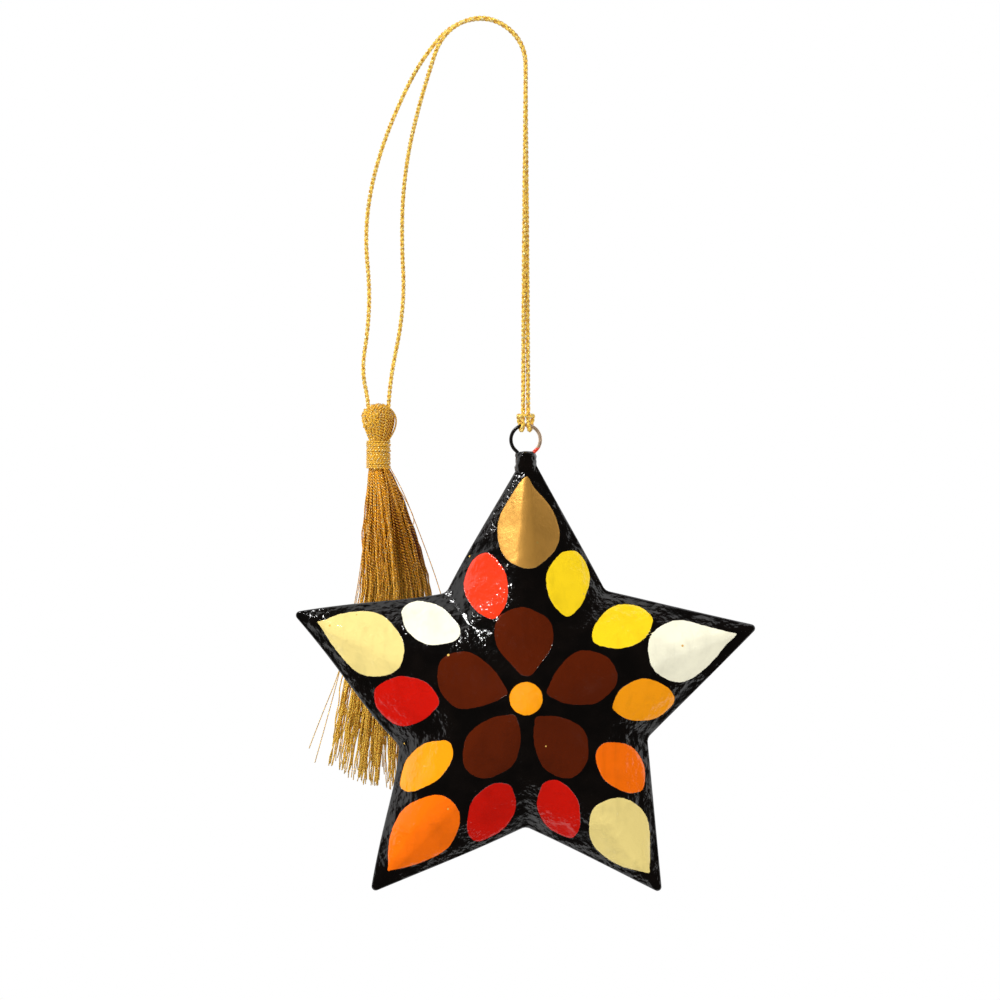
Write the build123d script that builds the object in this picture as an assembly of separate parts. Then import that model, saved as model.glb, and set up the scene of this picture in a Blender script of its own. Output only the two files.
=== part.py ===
from build123d import *
import math
import os

# Hanging star ornament: a hollow moulded star on a doubled gold cord, with a thread tassel on its other end.
# Millimetres, X to the right, Y to the back, Z up. The origin is the inside of the cord's crown, the hang point.

# Star: two hollow halves that meet in the plane Y = 0
STAR_TIP_RADIUS = 40.9
STAR_NOTCH_RADIUS = 21.85
STAR_HALF_DEPTH = 11.0
STAR_CENTRE_DROP = 112.5
RIM_HEIGHT = 0.6
TIP_ROUND = 0.7
NOTCH_ROUND = 1.5
SHELL_WALL = 2.0
GLUE_THICKNESS = 0.2
GLUE_INSET = 0.3
RIDGE_POWER = 1.45
VALLEY_POWER = 1.9
DOME_STEPS = (0.0, 0.25, 0.5, 0.72)
CROWN_TIP_ROUND = 5.6
CROWN_NOTCH_ROUND = 4.0
FADE_POWER = 1.6

# Neck plug and wire eye on the top point
NECK_TOP_DIAMETER = 3.5
NECK_FOOT_DIAMETER = 4.0
NECK_HEIGHT = 3.7
NECK_ROUND = 0.7
NECK_OVER_TIP = 0.35
EYE_WIRE = 0.6
EYE_LOOP_RADIUS = 2.45
EYE_LOOP_SWEEP = 280
EYE_SHOULDER_RADIUS = 1.4
EYE_ABOVE_NECK = 4.5
EYE_LEG_LENGTH = 9.1
EYE_TAIL_RADIUS = 0.8
EYE_TAIL_LENGTH = 0.9
WIRE_FIT = 0.04

# Cord and the round support that it hangs over
CORD = 0.74
SUPPORT_RADIUS = 7.5
DROP_TOP_Z = -11.5
STRAND_OFFSET = 0.42
HITCH_HEIGHT = 2.6
HITCH_SLIP = 0.02
HITCH_POINTS = [
    (0.42, 0.0, 1.6),
    (0.44, -0.86, 0.35),
    (0.52, -0.8, -0.86),
    (0.82, 0.8, -0.86),
    (1.16, 0.86, 1.0),
    (1.22, 0.1, 1.6),
    (1.08, -1.0, 1.5),
]
LEFT_POINTS = [
    (7.87, 0.42, -3.97),
    (2.6, 0.7, 0.73),
    (-4.42, 2.6, -0.09),
    (-9.55, 7.0, -5.64),
    (-13.0, 11.0, -11.5),
    (-16.6, 16.0, -19.4),
    (-18.9, 20.0, -27.3),
    (-19.7, 22.0, -35.0),
    (-18.9, 22.1, -43.5),
    (-19.2, 22.0, -50.5),
    (-20.3, 22.0, -57.5),
]
RIGHT_POINTS = [
    (7.87, -0.42, -3.46),
    (1.31, -0.2, 1.25),
    (-6.0, 1.6, -1.5),
    (-8.8, 6.2, -9.3),
    (-10.6, 11.0, -14.8),
    (-12.2, 15.6, -21.0),
    (-13.2, 19.3, -28.5),
    (-13.35, 22.0, -36.4),
    (-12.95, 22.1, -43.5),
    (-13.6, 22.0, -50.5),
    (-15.0, 22.0, -57.2),
]

# Tassel: a hank folded over the cord, bound at the neck
TASSEL_X = -17.41
TASSEL_Y = 22.0
TASSEL_TOP = -63.07
HEAD_DIAMETER = 5.75
HEAD_HEIGHT = 6.74
HEAD_GROOVES = 18
GROOVE_WIDTH = 0.42
PIVOT_BELOW_TOP = 2.3
PIVOT_CLEARANCE = 0.15
LEG_OFFSET = 1.75
LEG_BEND = 0.9
LEG_RUN = 2.5
KNOT_DIAMETER = 1.9
KNOT_LENGTH = 1.5
SWING_BACK = 60
SWING_FORWARD = 3
NECK_LENGTH = 4.83
NECK_RADIUS = 1.70
BINDING_THREAD = 0.4
BINDING_TURNS = 5
BINDING_GAP = 0.44
BINDING_SLIP = 0.02
SKIRT_LENGTH = 53.0
SKIRT_RAGGED = 3.0
SKIRT_STRANDS = 320
SKIRT_PLATE = 0.6
SKIRT_MID_DROP = 20.9
SKIRT_MID_SHIFT = 2.6
SKIRT_MID_HALF = (6.3, 4.3)
SKIRT_END_SHIFT = 2.2
SKIRT_END_HALF = (12.0, 6.5)
STRAND_TOP = 0.07
STRAND_MID = 0.2
STRAND_END = 0.26
GOLDEN_SHARE = (math.sqrt(5) - 1) / 2
GOLDEN_ANGLE = 2 * math.pi * GOLDEN_SHARE

STAR_X = SUPPORT_RADIUS + CORD / 2
STAR_Z = -STAR_CENTRE_DROP
STAR_PLACE = Pos(STAR_X, 0, STAR_Z)

# The star's outline: half the angle at a tip, and how an inward offset draws in the tips and the notches
NOTCH_ANGLE = math.radians(36)
TIP_HALF_ANGLE = math.atan2(
    STAR_NOTCH_RADIUS * math.sin(NOTCH_ANGLE),
    STAR_TIP_RADIUS - STAR_NOTCH_RADIUS * math.cos(NOTCH_ANGLE),
)
TIP_PER_INSET = 1 / math.sin(TIP_HALF_ANGLE)
NOTCH_PER_INSET = 1 / math.sin(TIP_HALF_ANGLE + NOTCH_ANGLE)
STAR_TOP_Z = STAR_Z + STAR_TIP_RADIUS - TIP_ROUND * (TIP_PER_INSET - 1)
NECK_TOP_Z = STAR_TOP_Z + NECK_OVER_TIP
EYE_CROWN_Z = NECK_TOP_Z + EYE_ABOVE_NECK
EYE_CENTRE_Z = EYE_CROWN_Z - EYE_LOOP_RADIUS
HITCH_TOP_Z = EYE_CROWN_Z + HITCH_HEIGHT
EYE_HALF_GAP = math.radians((360 - EYE_LOOP_SWEEP) / 2)
EYE_LEG_X = EYE_LOOP_RADIUS * math.sin(EYE_HALF_GAP) - EYE_SHOULDER_RADIUS * (1 - math.sin(EYE_HALF_GAP))
PIVOT_Z = TASSEL_TOP - PIVOT_BELOW_TOP
NECK_TOP = TASSEL_TOP - HEAD_HEIGHT
SKIRT_TOP = NECK_TOP - NECK_LENGTH


def star_face(inset, rise, depth):
    """One star outline, parallel to the seam: the higher on the dome, the smaller and rounder it is."""
    tip_radius = (STAR_TIP_RADIUS - inset * TIP_PER_INSET) * (1 - rise) ** (1 / RIDGE_POWER)
    notch_radius = (STAR_NOTCH_RADIUS - inset * NOTCH_PER_INSET) * (1 - rise) ** (1 / VALLEY_POWER)
    fade = rise**FADE_POWER
    tip_round = TIP_ROUND + (CROWN_TIP_ROUND - TIP_ROUND) * fade
    notch_round = NOTCH_ROUND + (CROWN_NOTCH_ROUND - NOTCH_ROUND) * fade
    corners = star_corners(tip_radius, notch_radius)
    outline = FilletPolyline(*corners, radius=[tip_round, notch_round] * 5, close=True)
    return Plane.XZ.offset(depth) * make_face(outline)


def star_corners(tip_radius, notch_radius):
    corners = []
    for arm in range(5):
        for angle, radius in ((72 * arm, tip_radius), (72 * arm + 36, notch_radius)):
            turn = math.radians(angle)
            corners.append((radius * math.sin(turn), radius * math.cos(turn)))
    return corners


def star_dome(inset, base, height):
    """A ridged pillow over the outline: sharp ridges at the tips, a smooth crown in the middle."""
    sections = [star_face(inset, rise, base + height * rise) for rise in DOME_STEPS]
    return loft([*sections, Vertex(0, -base - height, 0)])


def star_half():
    """The front half as a full solid, its rim on the seam."""
    seam = GLUE_THICKNESS / 2
    outline = star_face(0, 0, seam)
    rim = extrude(outline, amount=RIM_HEIGHT - seam)
    return rim + star_dome(0, RIM_HEIGHT, STAR_HALF_DEPTH - RIM_HEIGHT)


def star_hollow():
    return star_dome(SHELL_WALL, GLUE_THICKNESS / 2, STAR_HALF_DEPTH - SHELL_WALL)


def eye_side(sign):
    """One side of the wire below its loop: shoulder, leg, and the tail turned out in the hollow."""
    loop_x = EYE_LOOP_RADIUS * math.sin(EYE_HALF_GAP)
    loop_z = EYE_CENTRE_Z - EYE_LOOP_RADIUS * math.cos(EYE_HALF_GAP)
    leg_top = loop_z - EYE_SHOULDER_RADIUS * math.cos(EYE_HALF_GAP)
    leg_foot = leg_top - EYE_LEG_LENGTH
    tail_x = EYE_LEG_X + EYE_TAIL_RADIUS
    tail_z = leg_foot - EYE_TAIL_RADIUS
    into_neck = (-sign * math.cos(EYE_HALF_GAP), -math.sin(EYE_HALF_GAP))
    shoulder = TangentArc((sign * loop_x, loop_z), (sign * EYE_LEG_X, leg_top), tangent=into_neck)
    leg = Line((sign * EYE_LEG_X, leg_top), (sign * EYE_LEG_X, leg_foot))
    bend = TangentArc((sign * EYE_LEG_X, leg_foot), (sign * tail_x, tail_z), tangent=(0, -1))
    tail = Line((sign * tail_x, tail_z), (sign * (tail_x + EYE_TAIL_LENGTH), tail_z))
    return [shoulder, leg, bend, tail]


def eye_route():
    """The wire's centre line: tail, leg, loop, leg, tail, in the plane of the seam."""
    loop = CenterArc((0, EYE_CENTRE_Z), EYE_LOOP_RADIUS, 90 - EYE_LOOP_SWEEP / 2, EYE_LOOP_SWEEP)
    route = Wire([*reversed(eye_side(-1)), loop, *eye_side(1)])
    return Pos(STAR_X, 0, 0) * (Plane.XZ * route)


def wire_along(route, diameter):
    """A round wire or cord along a route."""
    start = route.position_at(0)
    section = Plane(origin=start, z_dir=route.tangent_at(0)) * Circle(diameter / 2)
    return sweep(section, path=route)


def neck_blank():
    """The plug of filler: a short cone, round on top."""
    top = NECK_TOP_Z
    profile = make_face(
        Polyline(
            (0, top),
            (NECK_TOP_DIAMETER / 2, top),
            (NECK_FOOT_DIAMETER / 2, top - NECK_HEIGHT),
            (0, top - NECK_HEIGHT),
            close=True,
        )
    )
    shoulder = profile.vertices().sort_by(Axis.Y)[-2:].sort_by(Axis.X)[-1]
    profile = fillet(shoulder, NECK_ROUND)
    return Pos(STAR_X, 0, 0) * revolve(Plane.XZ * profile, axis=Axis.Z)


def cord_route(points, last_radius=None):
    """Straight runs joined by arcs as large as the runs allow, or as tight as the last fold needs."""
    places = [Vector(*p) for p in points]
    radii = []
    for before, here, after in zip(places, places[1:], places[2:]):
        turn = math.radians((here - before).get_angle(after - here))
        shorter = min((here - before).length, (after - here).length)
        radii.append(0.45 * shorter / math.tan(turn / 2))
    if last_radius:
        radii[-1] = last_radius
    return FilletPolyline(*places, radius=radii), radii


def cord_along(name, points, last_radius=None):
    """The cord through a list of points, with its radii and its volume against section times length."""
    route, radii = cord_route(points, last_radius)
    tube = wire_along(route, CORD)
    expected = math.pi * (CORD / 2) ** 2 * route.length
    print(f"{name}: length {route.length:.1f}, radii {[round(r, 2) for r in radii]}")
    print(f"{name}: volume {tube.volume:.3f}, section times length {expected:.3f}")
    return tube


def star_strand(sign):
    """One strand of the straight drop, which goes a quarter round the other on its way up."""
    slant = STRAND_OFFSET * math.sqrt(0.5)
    middle_z = (HITCH_TOP_Z + DROP_TOP_Z) / 2
    return [
        (STAR_X + sign * STRAND_OFFSET, 0, HITCH_TOP_Z + HITCH_SLIP),
        (STAR_X + sign * slant, sign * slant, middle_z),
        (STAR_X, sign * STRAND_OFFSET, DROP_TOP_Z),
    ]


def hitch_route():
    """The lark's head: down in front of the wire, under it, up behind and over both strands as a bar."""
    half = [(STRAND_OFFSET, 0, HITCH_HEIGHT), *HITCH_POINTS]
    other = [(-x, y, z) for x, y, z in reversed(half)]
    return [(STAR_X + x, y, EYE_CROWN_Z + z) for x, y, z in half + other]


def tassel_route(sign, points):
    """A strand from the top of the drop over the support to the knot in the tassel's head."""
    leg_x = TASSEL_X + sign * LEG_OFFSET
    return [
        (STAR_X, -sign * STRAND_OFFSET, DROP_TOP_Z),
        *points,
        (leg_x, TASSEL_Y, PIVOT_Z + LEG_RUN),
        (leg_x, TASSEL_Y, PIVOT_Z),
        (TASSEL_X + sign * KNOT_LENGTH / 2, TASSEL_Y, PIVOT_Z),
    ]


def at_pivot(solid):
    return Pos(TASSEL_X, TASSEL_Y, PIVOT_Z) * solid


def knot(grow):
    """The knot as a barrel about the pivot, which runs along X."""
    half = KNOT_LENGTH / 2 + grow
    end = CORD / 2 + grow
    belly = KNOT_DIAMETER / 2 + grow
    profile = Polyline(
        (-half, 0),
        (-half, end),
        (-half / 2, belly),
        (half / 2, belly),
        (half, end),
        (half, 0),
        close=True,
    )
    return at_pivot(revolve(make_face(profile), axis=Axis.X))


def head_blank():
    """The folded hank: an egg that draws in to a straight neck, and the line down its flank."""
    radius = HEAD_DIAMETER / 2
    belly = -radius
    foot = -HEAD_HEIGHT - NECK_LENGTH
    crown = CenterArc((0, belly), radius, 0, 90)
    flank = TangentArc((radius, belly), (NECK_RADIUS, -HEAD_HEIGHT), tangent=(0, -1))
    rest = Polyline((NECK_RADIUS, -HEAD_HEIGHT), (NECK_RADIUS, foot), (0, foot), (0, 0))
    face = make_face(Wire([crown, flank, *rest.edges()]))
    return revolve(Plane.XZ * face, axis=Axis.Z), Plane.XZ * flank


def pivot_room():
    """The room in the head for the knot, the cord along the pivot and the swing of the cord's two legs."""
    bore = CORD / 2 + PIVOT_CLEARANCE
    room = knot(PIVOT_CLEARANCE) + at_pivot(Rotation(0, 90, 0) * Cylinder(bore, 2 * LEG_OFFSET))
    reach = HEAD_DIAMETER
    for sign in (1, -1):
        middle = sign * LEG_OFFSET
        slice_face = Plane.XZ * (Pos(middle, reach / 2) * Rectangle(2 * bore, reach))
        start = Rotation(-SWING_BACK, 0, 0) * slice_face
        room += at_pivot(revolve(start, axis=Axis.X, revolution_arc=SWING_BACK + SWING_FORWARD))
        for lean in (-SWING_BACK, SWING_FORWARD):
            leg = Pos(middle, 0, reach / 2) * Box(2 * bore, 2 * bore, reach)
            room += at_pivot(Rotation(lean, 0, 0) * leg)
        room += at_pivot(Pos(middle, 0, 0) * Rotation(0, 90, 0) * Cylinder(bore, 2 * bore))
    return room


def tassel_head():
    """The egg with the parted gathers of its threads, open for the cord."""
    blank, flank = head_blank()
    groove = wire_along(Wire([flank]), GROOVE_WIDTH)
    grooves = [Rotation(0, 0, 360 / HEAD_GROOVES * i) * groove for i in range(HEAD_GROOVES)]
    head = Pos(TASSEL_X, TASSEL_Y, TASSEL_TOP) * (blank - grooves)
    return head - pivot_room()


def biarc(start, start_way, end, end_way):
    """Two arcs that leave the start and reach the end along the given ways."""
    across = end - start
    both = start_way + end_way
    bend = 2 * (1 - start_way.dot(end_way))
    reach = (-across.dot(both) + math.sqrt(across.dot(both) ** 2 + bend * across.dot(across))) / bend
    middle = (start + start_way * reach + end - end_way * reach) * 0.5
    return [
        TangentArc(start, middle, tangent=start_way),
        TangentArc(end, middle, tangent=end_way * -1),
    ]


def binding():
    """Thread wound round the neck in one unbroken helix, with its two ends run out straight."""
    radius = NECK_RADIUS + BINDING_THREAD / 2 + BINDING_SLIP
    pitch = BINDING_THREAD + BINDING_GAP
    rise = pitch / (2 * math.pi)
    climb = math.hypot(radius, rise)
    low = NECK_TOP - NECK_LENGTH / 2 - BINDING_TURNS * pitch / 2

    def place(turn):
        return Vector(radius * math.cos(turn), radius * math.sin(turn), rise * turn)

    def way(turn):
        return Vector(-radius * math.sin(turn), radius * math.cos(turn), rise) * (1 / climb)

    last = 2 * math.pi * BINDING_TURNS
    quarter = math.pi / 2
    edges = [Line(place(0) - way(0) * BINDING_THREAD, place(0))]
    for step in range(4 * BINDING_TURNS):
        turn = step * quarter
        edges += biarc(place(turn), way(turn), place(turn + quarter), way(turn + quarter))
    edges.append(Line(place(last), place(last) + way(last) * BINDING_THREAD))
    route = Wire(edges)
    points = [route.position_at(i / 400) for i in range(401)]
    apart = int(400 / BINDING_TURNS / 2)
    gap = min((b - a).length for i, a in enumerate(points) for b in points[i + apart :]) - BINDING_THREAD
    print(f"neck_binding: least gap to itself {gap:.2f}")
    return Pos(TASSEL_X, TASSEL_Y, low) * wire_along(route, BINDING_THREAD)


def strand_rings(number):
    """The three-sided outlines of one thread: thin in the neck, fuller at the middle and at its end."""
    share = math.sqrt((number + 0.5) / SKIRT_STRANDS)
    angle = number * GOLDEN_ANGLE
    length = SKIRT_LENGTH - SKIRT_RAGGED * (number * GOLDEN_SHARE % 1)
    past_middle = (length - SKIRT_MID_DROP) / (SKIRT_LENGTH - SKIRT_MID_DROP)
    end_half = [m + (e - m) * past_middle for m, e in zip(SKIRT_MID_HALF, SKIRT_END_HALF)]
    end_shift = SKIRT_MID_SHIFT + (SKIRT_END_SHIFT - SKIRT_MID_SHIFT) * past_middle
    top_half = NECK_RADIUS - STRAND_TOP
    levels = [
        (SKIRT_PLATE, 0, (top_half, top_half), STRAND_TOP),
        (SKIRT_MID_DROP, SKIRT_MID_SHIFT, SKIRT_MID_HALF, STRAND_MID),
        (length, end_shift, end_half, STRAND_END),
    ]
    rings = []
    for drop, shift, half, size in levels:
        x = shift + share * half[0] * math.cos(angle)
        y = share * half[1] * math.sin(angle)
        turns = [2 * math.pi * k / 3 for k in range(3)]
        rings.append([Vector(x + size * math.cos(t), y + size * math.sin(t), -drop) for t in turns])
    return rings


def tassel_skirt():
    """The hanging threads, all of one piece with the slice of the neck that they come out of."""
    slice_of_neck = Pos(0, 0, -SKIRT_PLATE / 2) * Cylinder(NECK_RADIUS, SKIRT_PLATE)
    faces = slice_of_neck.faces().sort_by(Axis.Z)
    mouths = []
    skin = [*faces[1:]]
    for number in range(SKIRT_STRANDS):
        rings = strand_rings(number)
        mouths.append(Wire.make_polygon(rings[0]))
        for upper, lower in zip(rings, rings[1:]):
            for k in range(3):
                n = (k + 1) % 3
                skin.append(Face(Wire.make_polygon([upper[k], upper[n], lower[n], lower[k]])))
        skin.append(Face(Wire.make_polygon(rings[-1])))
    skin.append(Face(faces[0].outer_wire(), mouths))
    return Pos(TASSEL_X, TASSEL_Y, SKIRT_TOP) * Solid(Shell(skin))


def glue_seam():
    """The glue between the two rims, which stops at the wire's two legs."""
    outline = star_face(GLUE_INSET, 0, GLUE_THICKNESS / 2)
    hole = star_face(SHELL_WALL, 0, GLUE_THICKNESS / 2)
    seam = extrude(outline - hole, amount=-GLUE_THICKNESS)
    between_legs = Pos(0, 0, STAR_TIP_RADIUS) * Box(2 * EYE_LEG_X, EYE_WIRE, 2 * EYE_LEG_LENGTH)
    return STAR_PLACE * (seam - between_legs)


def main():
    half = star_half()
    hollow = star_hollow()
    eye = eye_route()
    wire = wire_along(eye, EYE_WIRE)
    wire_room = wire_along(eye, EYE_WIRE + 2 * WIRE_FIT)
    front = STAR_PLACE * (half - hollow)
    back = mirror(front, about=Plane.XZ)
    solid_front = STAR_PLACE * half
    solid_seam = STAR_PLACE * extrude(star_face(0, 0, GLUE_THICKNESS / 2), amount=-GLUE_THICKNESS)
    neck = neck_blank() - solid_front - solid_seam - mirror(solid_front, about=Plane.XZ) - wire
    nodes = {
        "star_front_shell": front - wire_room,
        "star_back_shell": back - wire_room,
        "glue_seam": glue_seam() - wire_room,
        "neck_plug": neck,
        "wire_eye": wire,
        "star_strand_front": cord_along("star_strand_front", star_strand(-1)),
        "star_strand_back": cord_along("star_strand_back", star_strand(1)),
        "cow_hitch": cord_along("cow_hitch", hitch_route()),
        "tassel_strand_left": cord_along("tassel_strand_left", tassel_route(-1, LEFT_POINTS), LEG_BEND),
        "tassel_strand_right": cord_along("tassel_strand_right", tassel_route(1, RIGHT_POINTS), LEG_BEND),
        "end_knot": knot(0),
        "tassel_head": tassel_head(),
        "neck_binding": binding(),
        "tassel_skirt": tassel_skirt(),
    }
    os.makedirs("parts", exist_ok=True)
    for name, shape in nodes.items():
        export_step(shape, f"parts/{name}.step")


main()
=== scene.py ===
import math
import random

import bmesh
import bpy
import numpy as np
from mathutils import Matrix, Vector, noise


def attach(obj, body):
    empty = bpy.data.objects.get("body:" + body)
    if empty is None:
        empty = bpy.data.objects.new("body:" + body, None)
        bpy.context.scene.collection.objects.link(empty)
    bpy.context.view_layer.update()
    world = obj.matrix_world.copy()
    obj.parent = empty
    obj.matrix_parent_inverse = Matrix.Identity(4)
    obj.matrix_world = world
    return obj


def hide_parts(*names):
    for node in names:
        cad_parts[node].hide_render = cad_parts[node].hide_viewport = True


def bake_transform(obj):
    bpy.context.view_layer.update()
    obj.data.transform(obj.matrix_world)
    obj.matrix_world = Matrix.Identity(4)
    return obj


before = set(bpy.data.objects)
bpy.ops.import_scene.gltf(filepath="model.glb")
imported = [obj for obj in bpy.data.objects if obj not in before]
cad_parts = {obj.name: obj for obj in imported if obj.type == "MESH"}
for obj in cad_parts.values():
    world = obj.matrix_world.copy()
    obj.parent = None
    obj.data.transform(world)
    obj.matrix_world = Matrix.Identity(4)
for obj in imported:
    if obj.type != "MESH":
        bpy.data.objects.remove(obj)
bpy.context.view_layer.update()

# Star halves
# Two hollow halves moulded in papier-mache, glued at the rim and brushed with thick black gloss lacquer.
# Each half is a pillow with five ridges that fade into the crown, a little uneven as hand work is.
MM = 0.001
ARMS = 5
ARM_DEGREES = 360 / ARMS
HALF_ARM = math.radians(ARM_DEGREES / 2)
STAR_X = 7.87
STAR_Z = -112.5
TIP_REACH = 40.9
NOTCH_REACH = 21.85
HALF_DEPTH = 11.0
RIM_DEPTH = 0.6
SHELL_WALL = 2.0
SEAM_DEPTH = 0.1
RIDGE_POWER = 1.45
VALLEY_POWER = 1.9
TIP_ROUND = (0.7, 5.6)
NOTCH_ROUND = (1.5, 4.0)
ROUND_FADE = 1.6
ROUND_MOST = 0.62
NOTCH_LEAST = 0.03
ARM_STEPS = 44
OUTER_LEVELS = 100
INNER_LEVELS = 14
LEVEL_POWER = 1.6
COLUMN_POWER = 1.6
UNEVEN_FADE = 0.7
TIP_LEAN = (0.5, 1.5, 1.5, 2.1, 1.5)
TIP_STRETCH = (1.0, 0.991, 0.981, 1.024, 1.009)
NOTCH_LEAN = (1.3, 1.4, 0.0, -3.5, -1.8)
NOTCH_STRETCH = (1.0, 0.982, 1.0, 1.034, 0.986)
RIM_PROFILE = ((0.4, 0.05), (0.16, 0.03), (0.03, -0.1), (0.04, -0.24), (SEAM_DEPTH, -0.27))
SWELL_SIZE = 11.0
SWELL_HEIGHT = 0.2
LUMP_SIZE = 2.6
LUMP_HEIGHT = 0.05


def half_tip_angle(tip, notch):
    """Half the angle between a tip's two sides."""
    return math.atan2(notch * math.sin(HALF_ARM), tip - notch * math.cos(HALF_ARM))


def outline_reach(tip, notch, tip_round, notch_round, angles):
    """How far a rounded star outline reaches, at angles from a tip's axis to a notch's."""
    tip_half = half_tip_angle(tip, notch)
    notch_half = tip_half + HALF_ARM
    reach = tip * math.sin(tip_half) / np.sin(tip_half + angles)
    centre = tip - tip_round / math.sin(tip_half)
    tip_end = math.atan2(tip_round * math.cos(tip_half), centre + tip_round * math.sin(tip_half))
    on_tip = angles < tip_end
    chord = np.maximum(tip_round**2 - (centre * np.sin(angles)) ** 2, 0)
    reach = np.where(on_tip, centre * np.cos(angles) + np.sqrt(chord), reach)
    if math.cos(notch_half) > NOTCH_LEAST:
        centre = notch + notch_round / math.sin(notch_half)
        run = centre - notch_round * math.sin(notch_half)
        notch_end = math.atan2(notch_round * math.cos(notch_half), run)
        from_notch = HALF_ARM - angles
        chord = np.maximum(notch_round**2 - (centre * np.sin(from_notch)) ** 2, 0)
        on_notch = from_notch < notch_end
        reach = np.where(on_notch, centre * np.cos(from_notch) - np.sqrt(chord), reach)
    return reach


def star_columns():
    """The grid's columns round the star: angle from the nearest tip, plain angle, lean and stretch."""
    share = (np.arange(ARM_STEPS + 1) / ARM_STEPS) ** COLUMN_POWER
    rows = []
    for arm in range(ARMS):
        after = (arm + 1) % ARMS
        to_notch = [(step, arm, 1, ARM_DEGREES * arm) for step in range(ARM_STEPS)]
        to_tip = [(step, after, -1, ARM_DEGREES * (arm + 1)) for step in range(ARM_STEPS, 0, -1)]
        for step, tip, way, start in to_notch + to_tip:
            f = share[step]
            ease = f * f * (3 - 2 * f)
            from_tip = ARM_DEGREES / 2 * f
            lean = TIP_LEAN[tip] + (NOTCH_LEAN[arm] - TIP_LEAN[tip]) * ease
            stretch = TIP_STRETCH[tip] + (NOTCH_STRETCH[arm] - TIP_STRETCH[tip]) * ease
            rows.append((from_tip, start + way * from_tip, lean, stretch))
    columns = np.array(rows).T
    return np.radians(columns[0]), np.radians(columns[1]), np.radians(columns[2]), columns[3]


def star_level(rise, tip_full, notch_full, angles):
    """One outline of the pillow, smaller and rounder the higher it lies."""
    tip = tip_full * (1 - rise) ** (1 / RIDGE_POWER)
    notch = notch_full * (1 - rise) ** (1 / VALLEY_POWER)
    fade = rise**ROUND_FADE
    tip_round = min(TIP_ROUND[0] + (TIP_ROUND[1] - TIP_ROUND[0]) * fade, ROUND_MOST * tip)
    notch_round = min(NOTCH_ROUND[0] + (NOTCH_ROUND[1] - NOTCH_ROUND[0]) * fade, ROUND_MOST * notch)
    return outline_reach(tip, notch, tip_round, notch_round, angles)


def uneven_ring(columns, reach, y, uneven):
    """A ring of points round the star, with a share of each arm's own lean and stretch."""
    _, plain, lean, stretch = columns
    angle = plain + lean * uneven
    reach = reach * (1 + (stretch - 1) * uneven)
    x = STAR_X + reach * np.sin(angle)
    z = STAR_Z + reach * np.cos(angle)
    return np.stack([x, np.full_like(angle, y), z], axis=1)


def star_half_rings(side):
    """Rings from the outer crown over the rim to the hollow's crown, and the outer rings' plain places."""
    columns = star_columns()
    from_tip, plain = columns[:2]
    rings = []
    plain_places = []
    for level in range(OUTER_LEVELS - 1, -1, -1):
        rise = 1 - (1 - level / OUTER_LEVELS) ** LEVEL_POWER
        reach = star_level(rise, TIP_REACH, NOTCH_REACH, from_tip)
        depth = RIM_DEPTH + (HALF_DEPTH - RIM_DEPTH) * rise
        rings.append(uneven_ring(columns, reach, side * depth, (1 - rise) ** UNEVEN_FADE))
        plain_places.append(np.stack([reach * np.sin(plain), reach * np.cos(plain)], axis=1))
    rim = star_level(0, TIP_REACH, NOTCH_REACH, from_tip)
    for depth, grow in RIM_PROFILE:
        rings.append(uneven_ring(columns, rim + grow, side * depth, 1))
    tip_half = half_tip_angle(TIP_REACH, NOTCH_REACH)
    hollow_tip = TIP_REACH - SHELL_WALL / math.sin(tip_half)
    hollow_notch = NOTCH_REACH - SHELL_WALL / math.sin(tip_half + HALF_ARM)
    for level in range(INNER_LEVELS):
        rise = 1 - (1 - level / INNER_LEVELS) ** LEVEL_POWER
        reach = star_level(rise, hollow_tip, hollow_notch, from_tip)
        depth = SEAM_DEPTH + (HALF_DEPTH - SHELL_WALL) * rise
        rings.append(uneven_ring(columns, reach, side * depth, (1 - rise) ** UNEVEN_FADE))
    return rings, np.concatenate(plain_places)


def rings_to_faces(ring_count, columns):
    """Quads between rings and a fan to the pole at each end. One pole is vertex 0, the other the last."""
    faces = []
    for c in range(columns):
        faces.append((0, 1 + c, 1 + (c + 1) % columns))
    for r in range(ring_count - 1):
        low = 1 + r * columns
        for c in range(columns):
            n = (c + 1) % columns
            faces.append((low + c, low + columns + c, low + columns + n, low + n))
    low = 1 + (ring_count - 1) * columns
    last = 1 + ring_count * columns
    for c in range(columns):
        faces.append((low + c, last, low + (c + 1) % columns))
    return faces


def link_piece(name, mesh):
    """A smooth mesh as a piece of the scene."""
    mesh.shade_smooth()
    piece = bpy.data.objects.new(name, mesh)
    bpy.context.scene.collection.objects.link(piece)
    return piece


def new_piece(name, places, faces):
    """A mesh piece, its places in millimetres, with its faces turned outward."""
    mesh = bpy.data.meshes.new(name)
    mesh.from_pydata([tuple(p) for p in np.asarray(places) * MM], [], faces)
    shape = bmesh.new()
    shape.from_mesh(mesh)
    bmesh.ops.recalc_face_normals(shape, faces=shape.faces)
    shape.to_mesh(mesh)
    shape.free()
    return link_piece(name, mesh)


def push_out(piece, heights):
    """Moves each point along its normal, by heights in millimetres."""
    mesh = piece.data
    count = len(mesh.vertices)
    places = np.zeros(count * 3)
    normals = np.zeros(count * 3)
    mesh.vertices.foreach_get("co", places)
    mesh.vertices.foreach_get("normal", normals)
    moved = places.reshape(-1, 3) + normals.reshape(-1, 3) * (heights * MM)[:, None]
    mesh.vertices.foreach_set("co", moved.ravel())
    mesh.update()


def hand_unevenness(piece, swell_size, swell, lump_size, lump):
    """Heights of low swells and small lumps over a piece, in millimetres."""
    heights = []
    for v in piece.data.vertices:
        place = v.co / MM
        heights.append(noise.noise(place / swell_size) * swell + noise.noise(place / lump_size) * lump)
    return np.array(heights)


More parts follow.
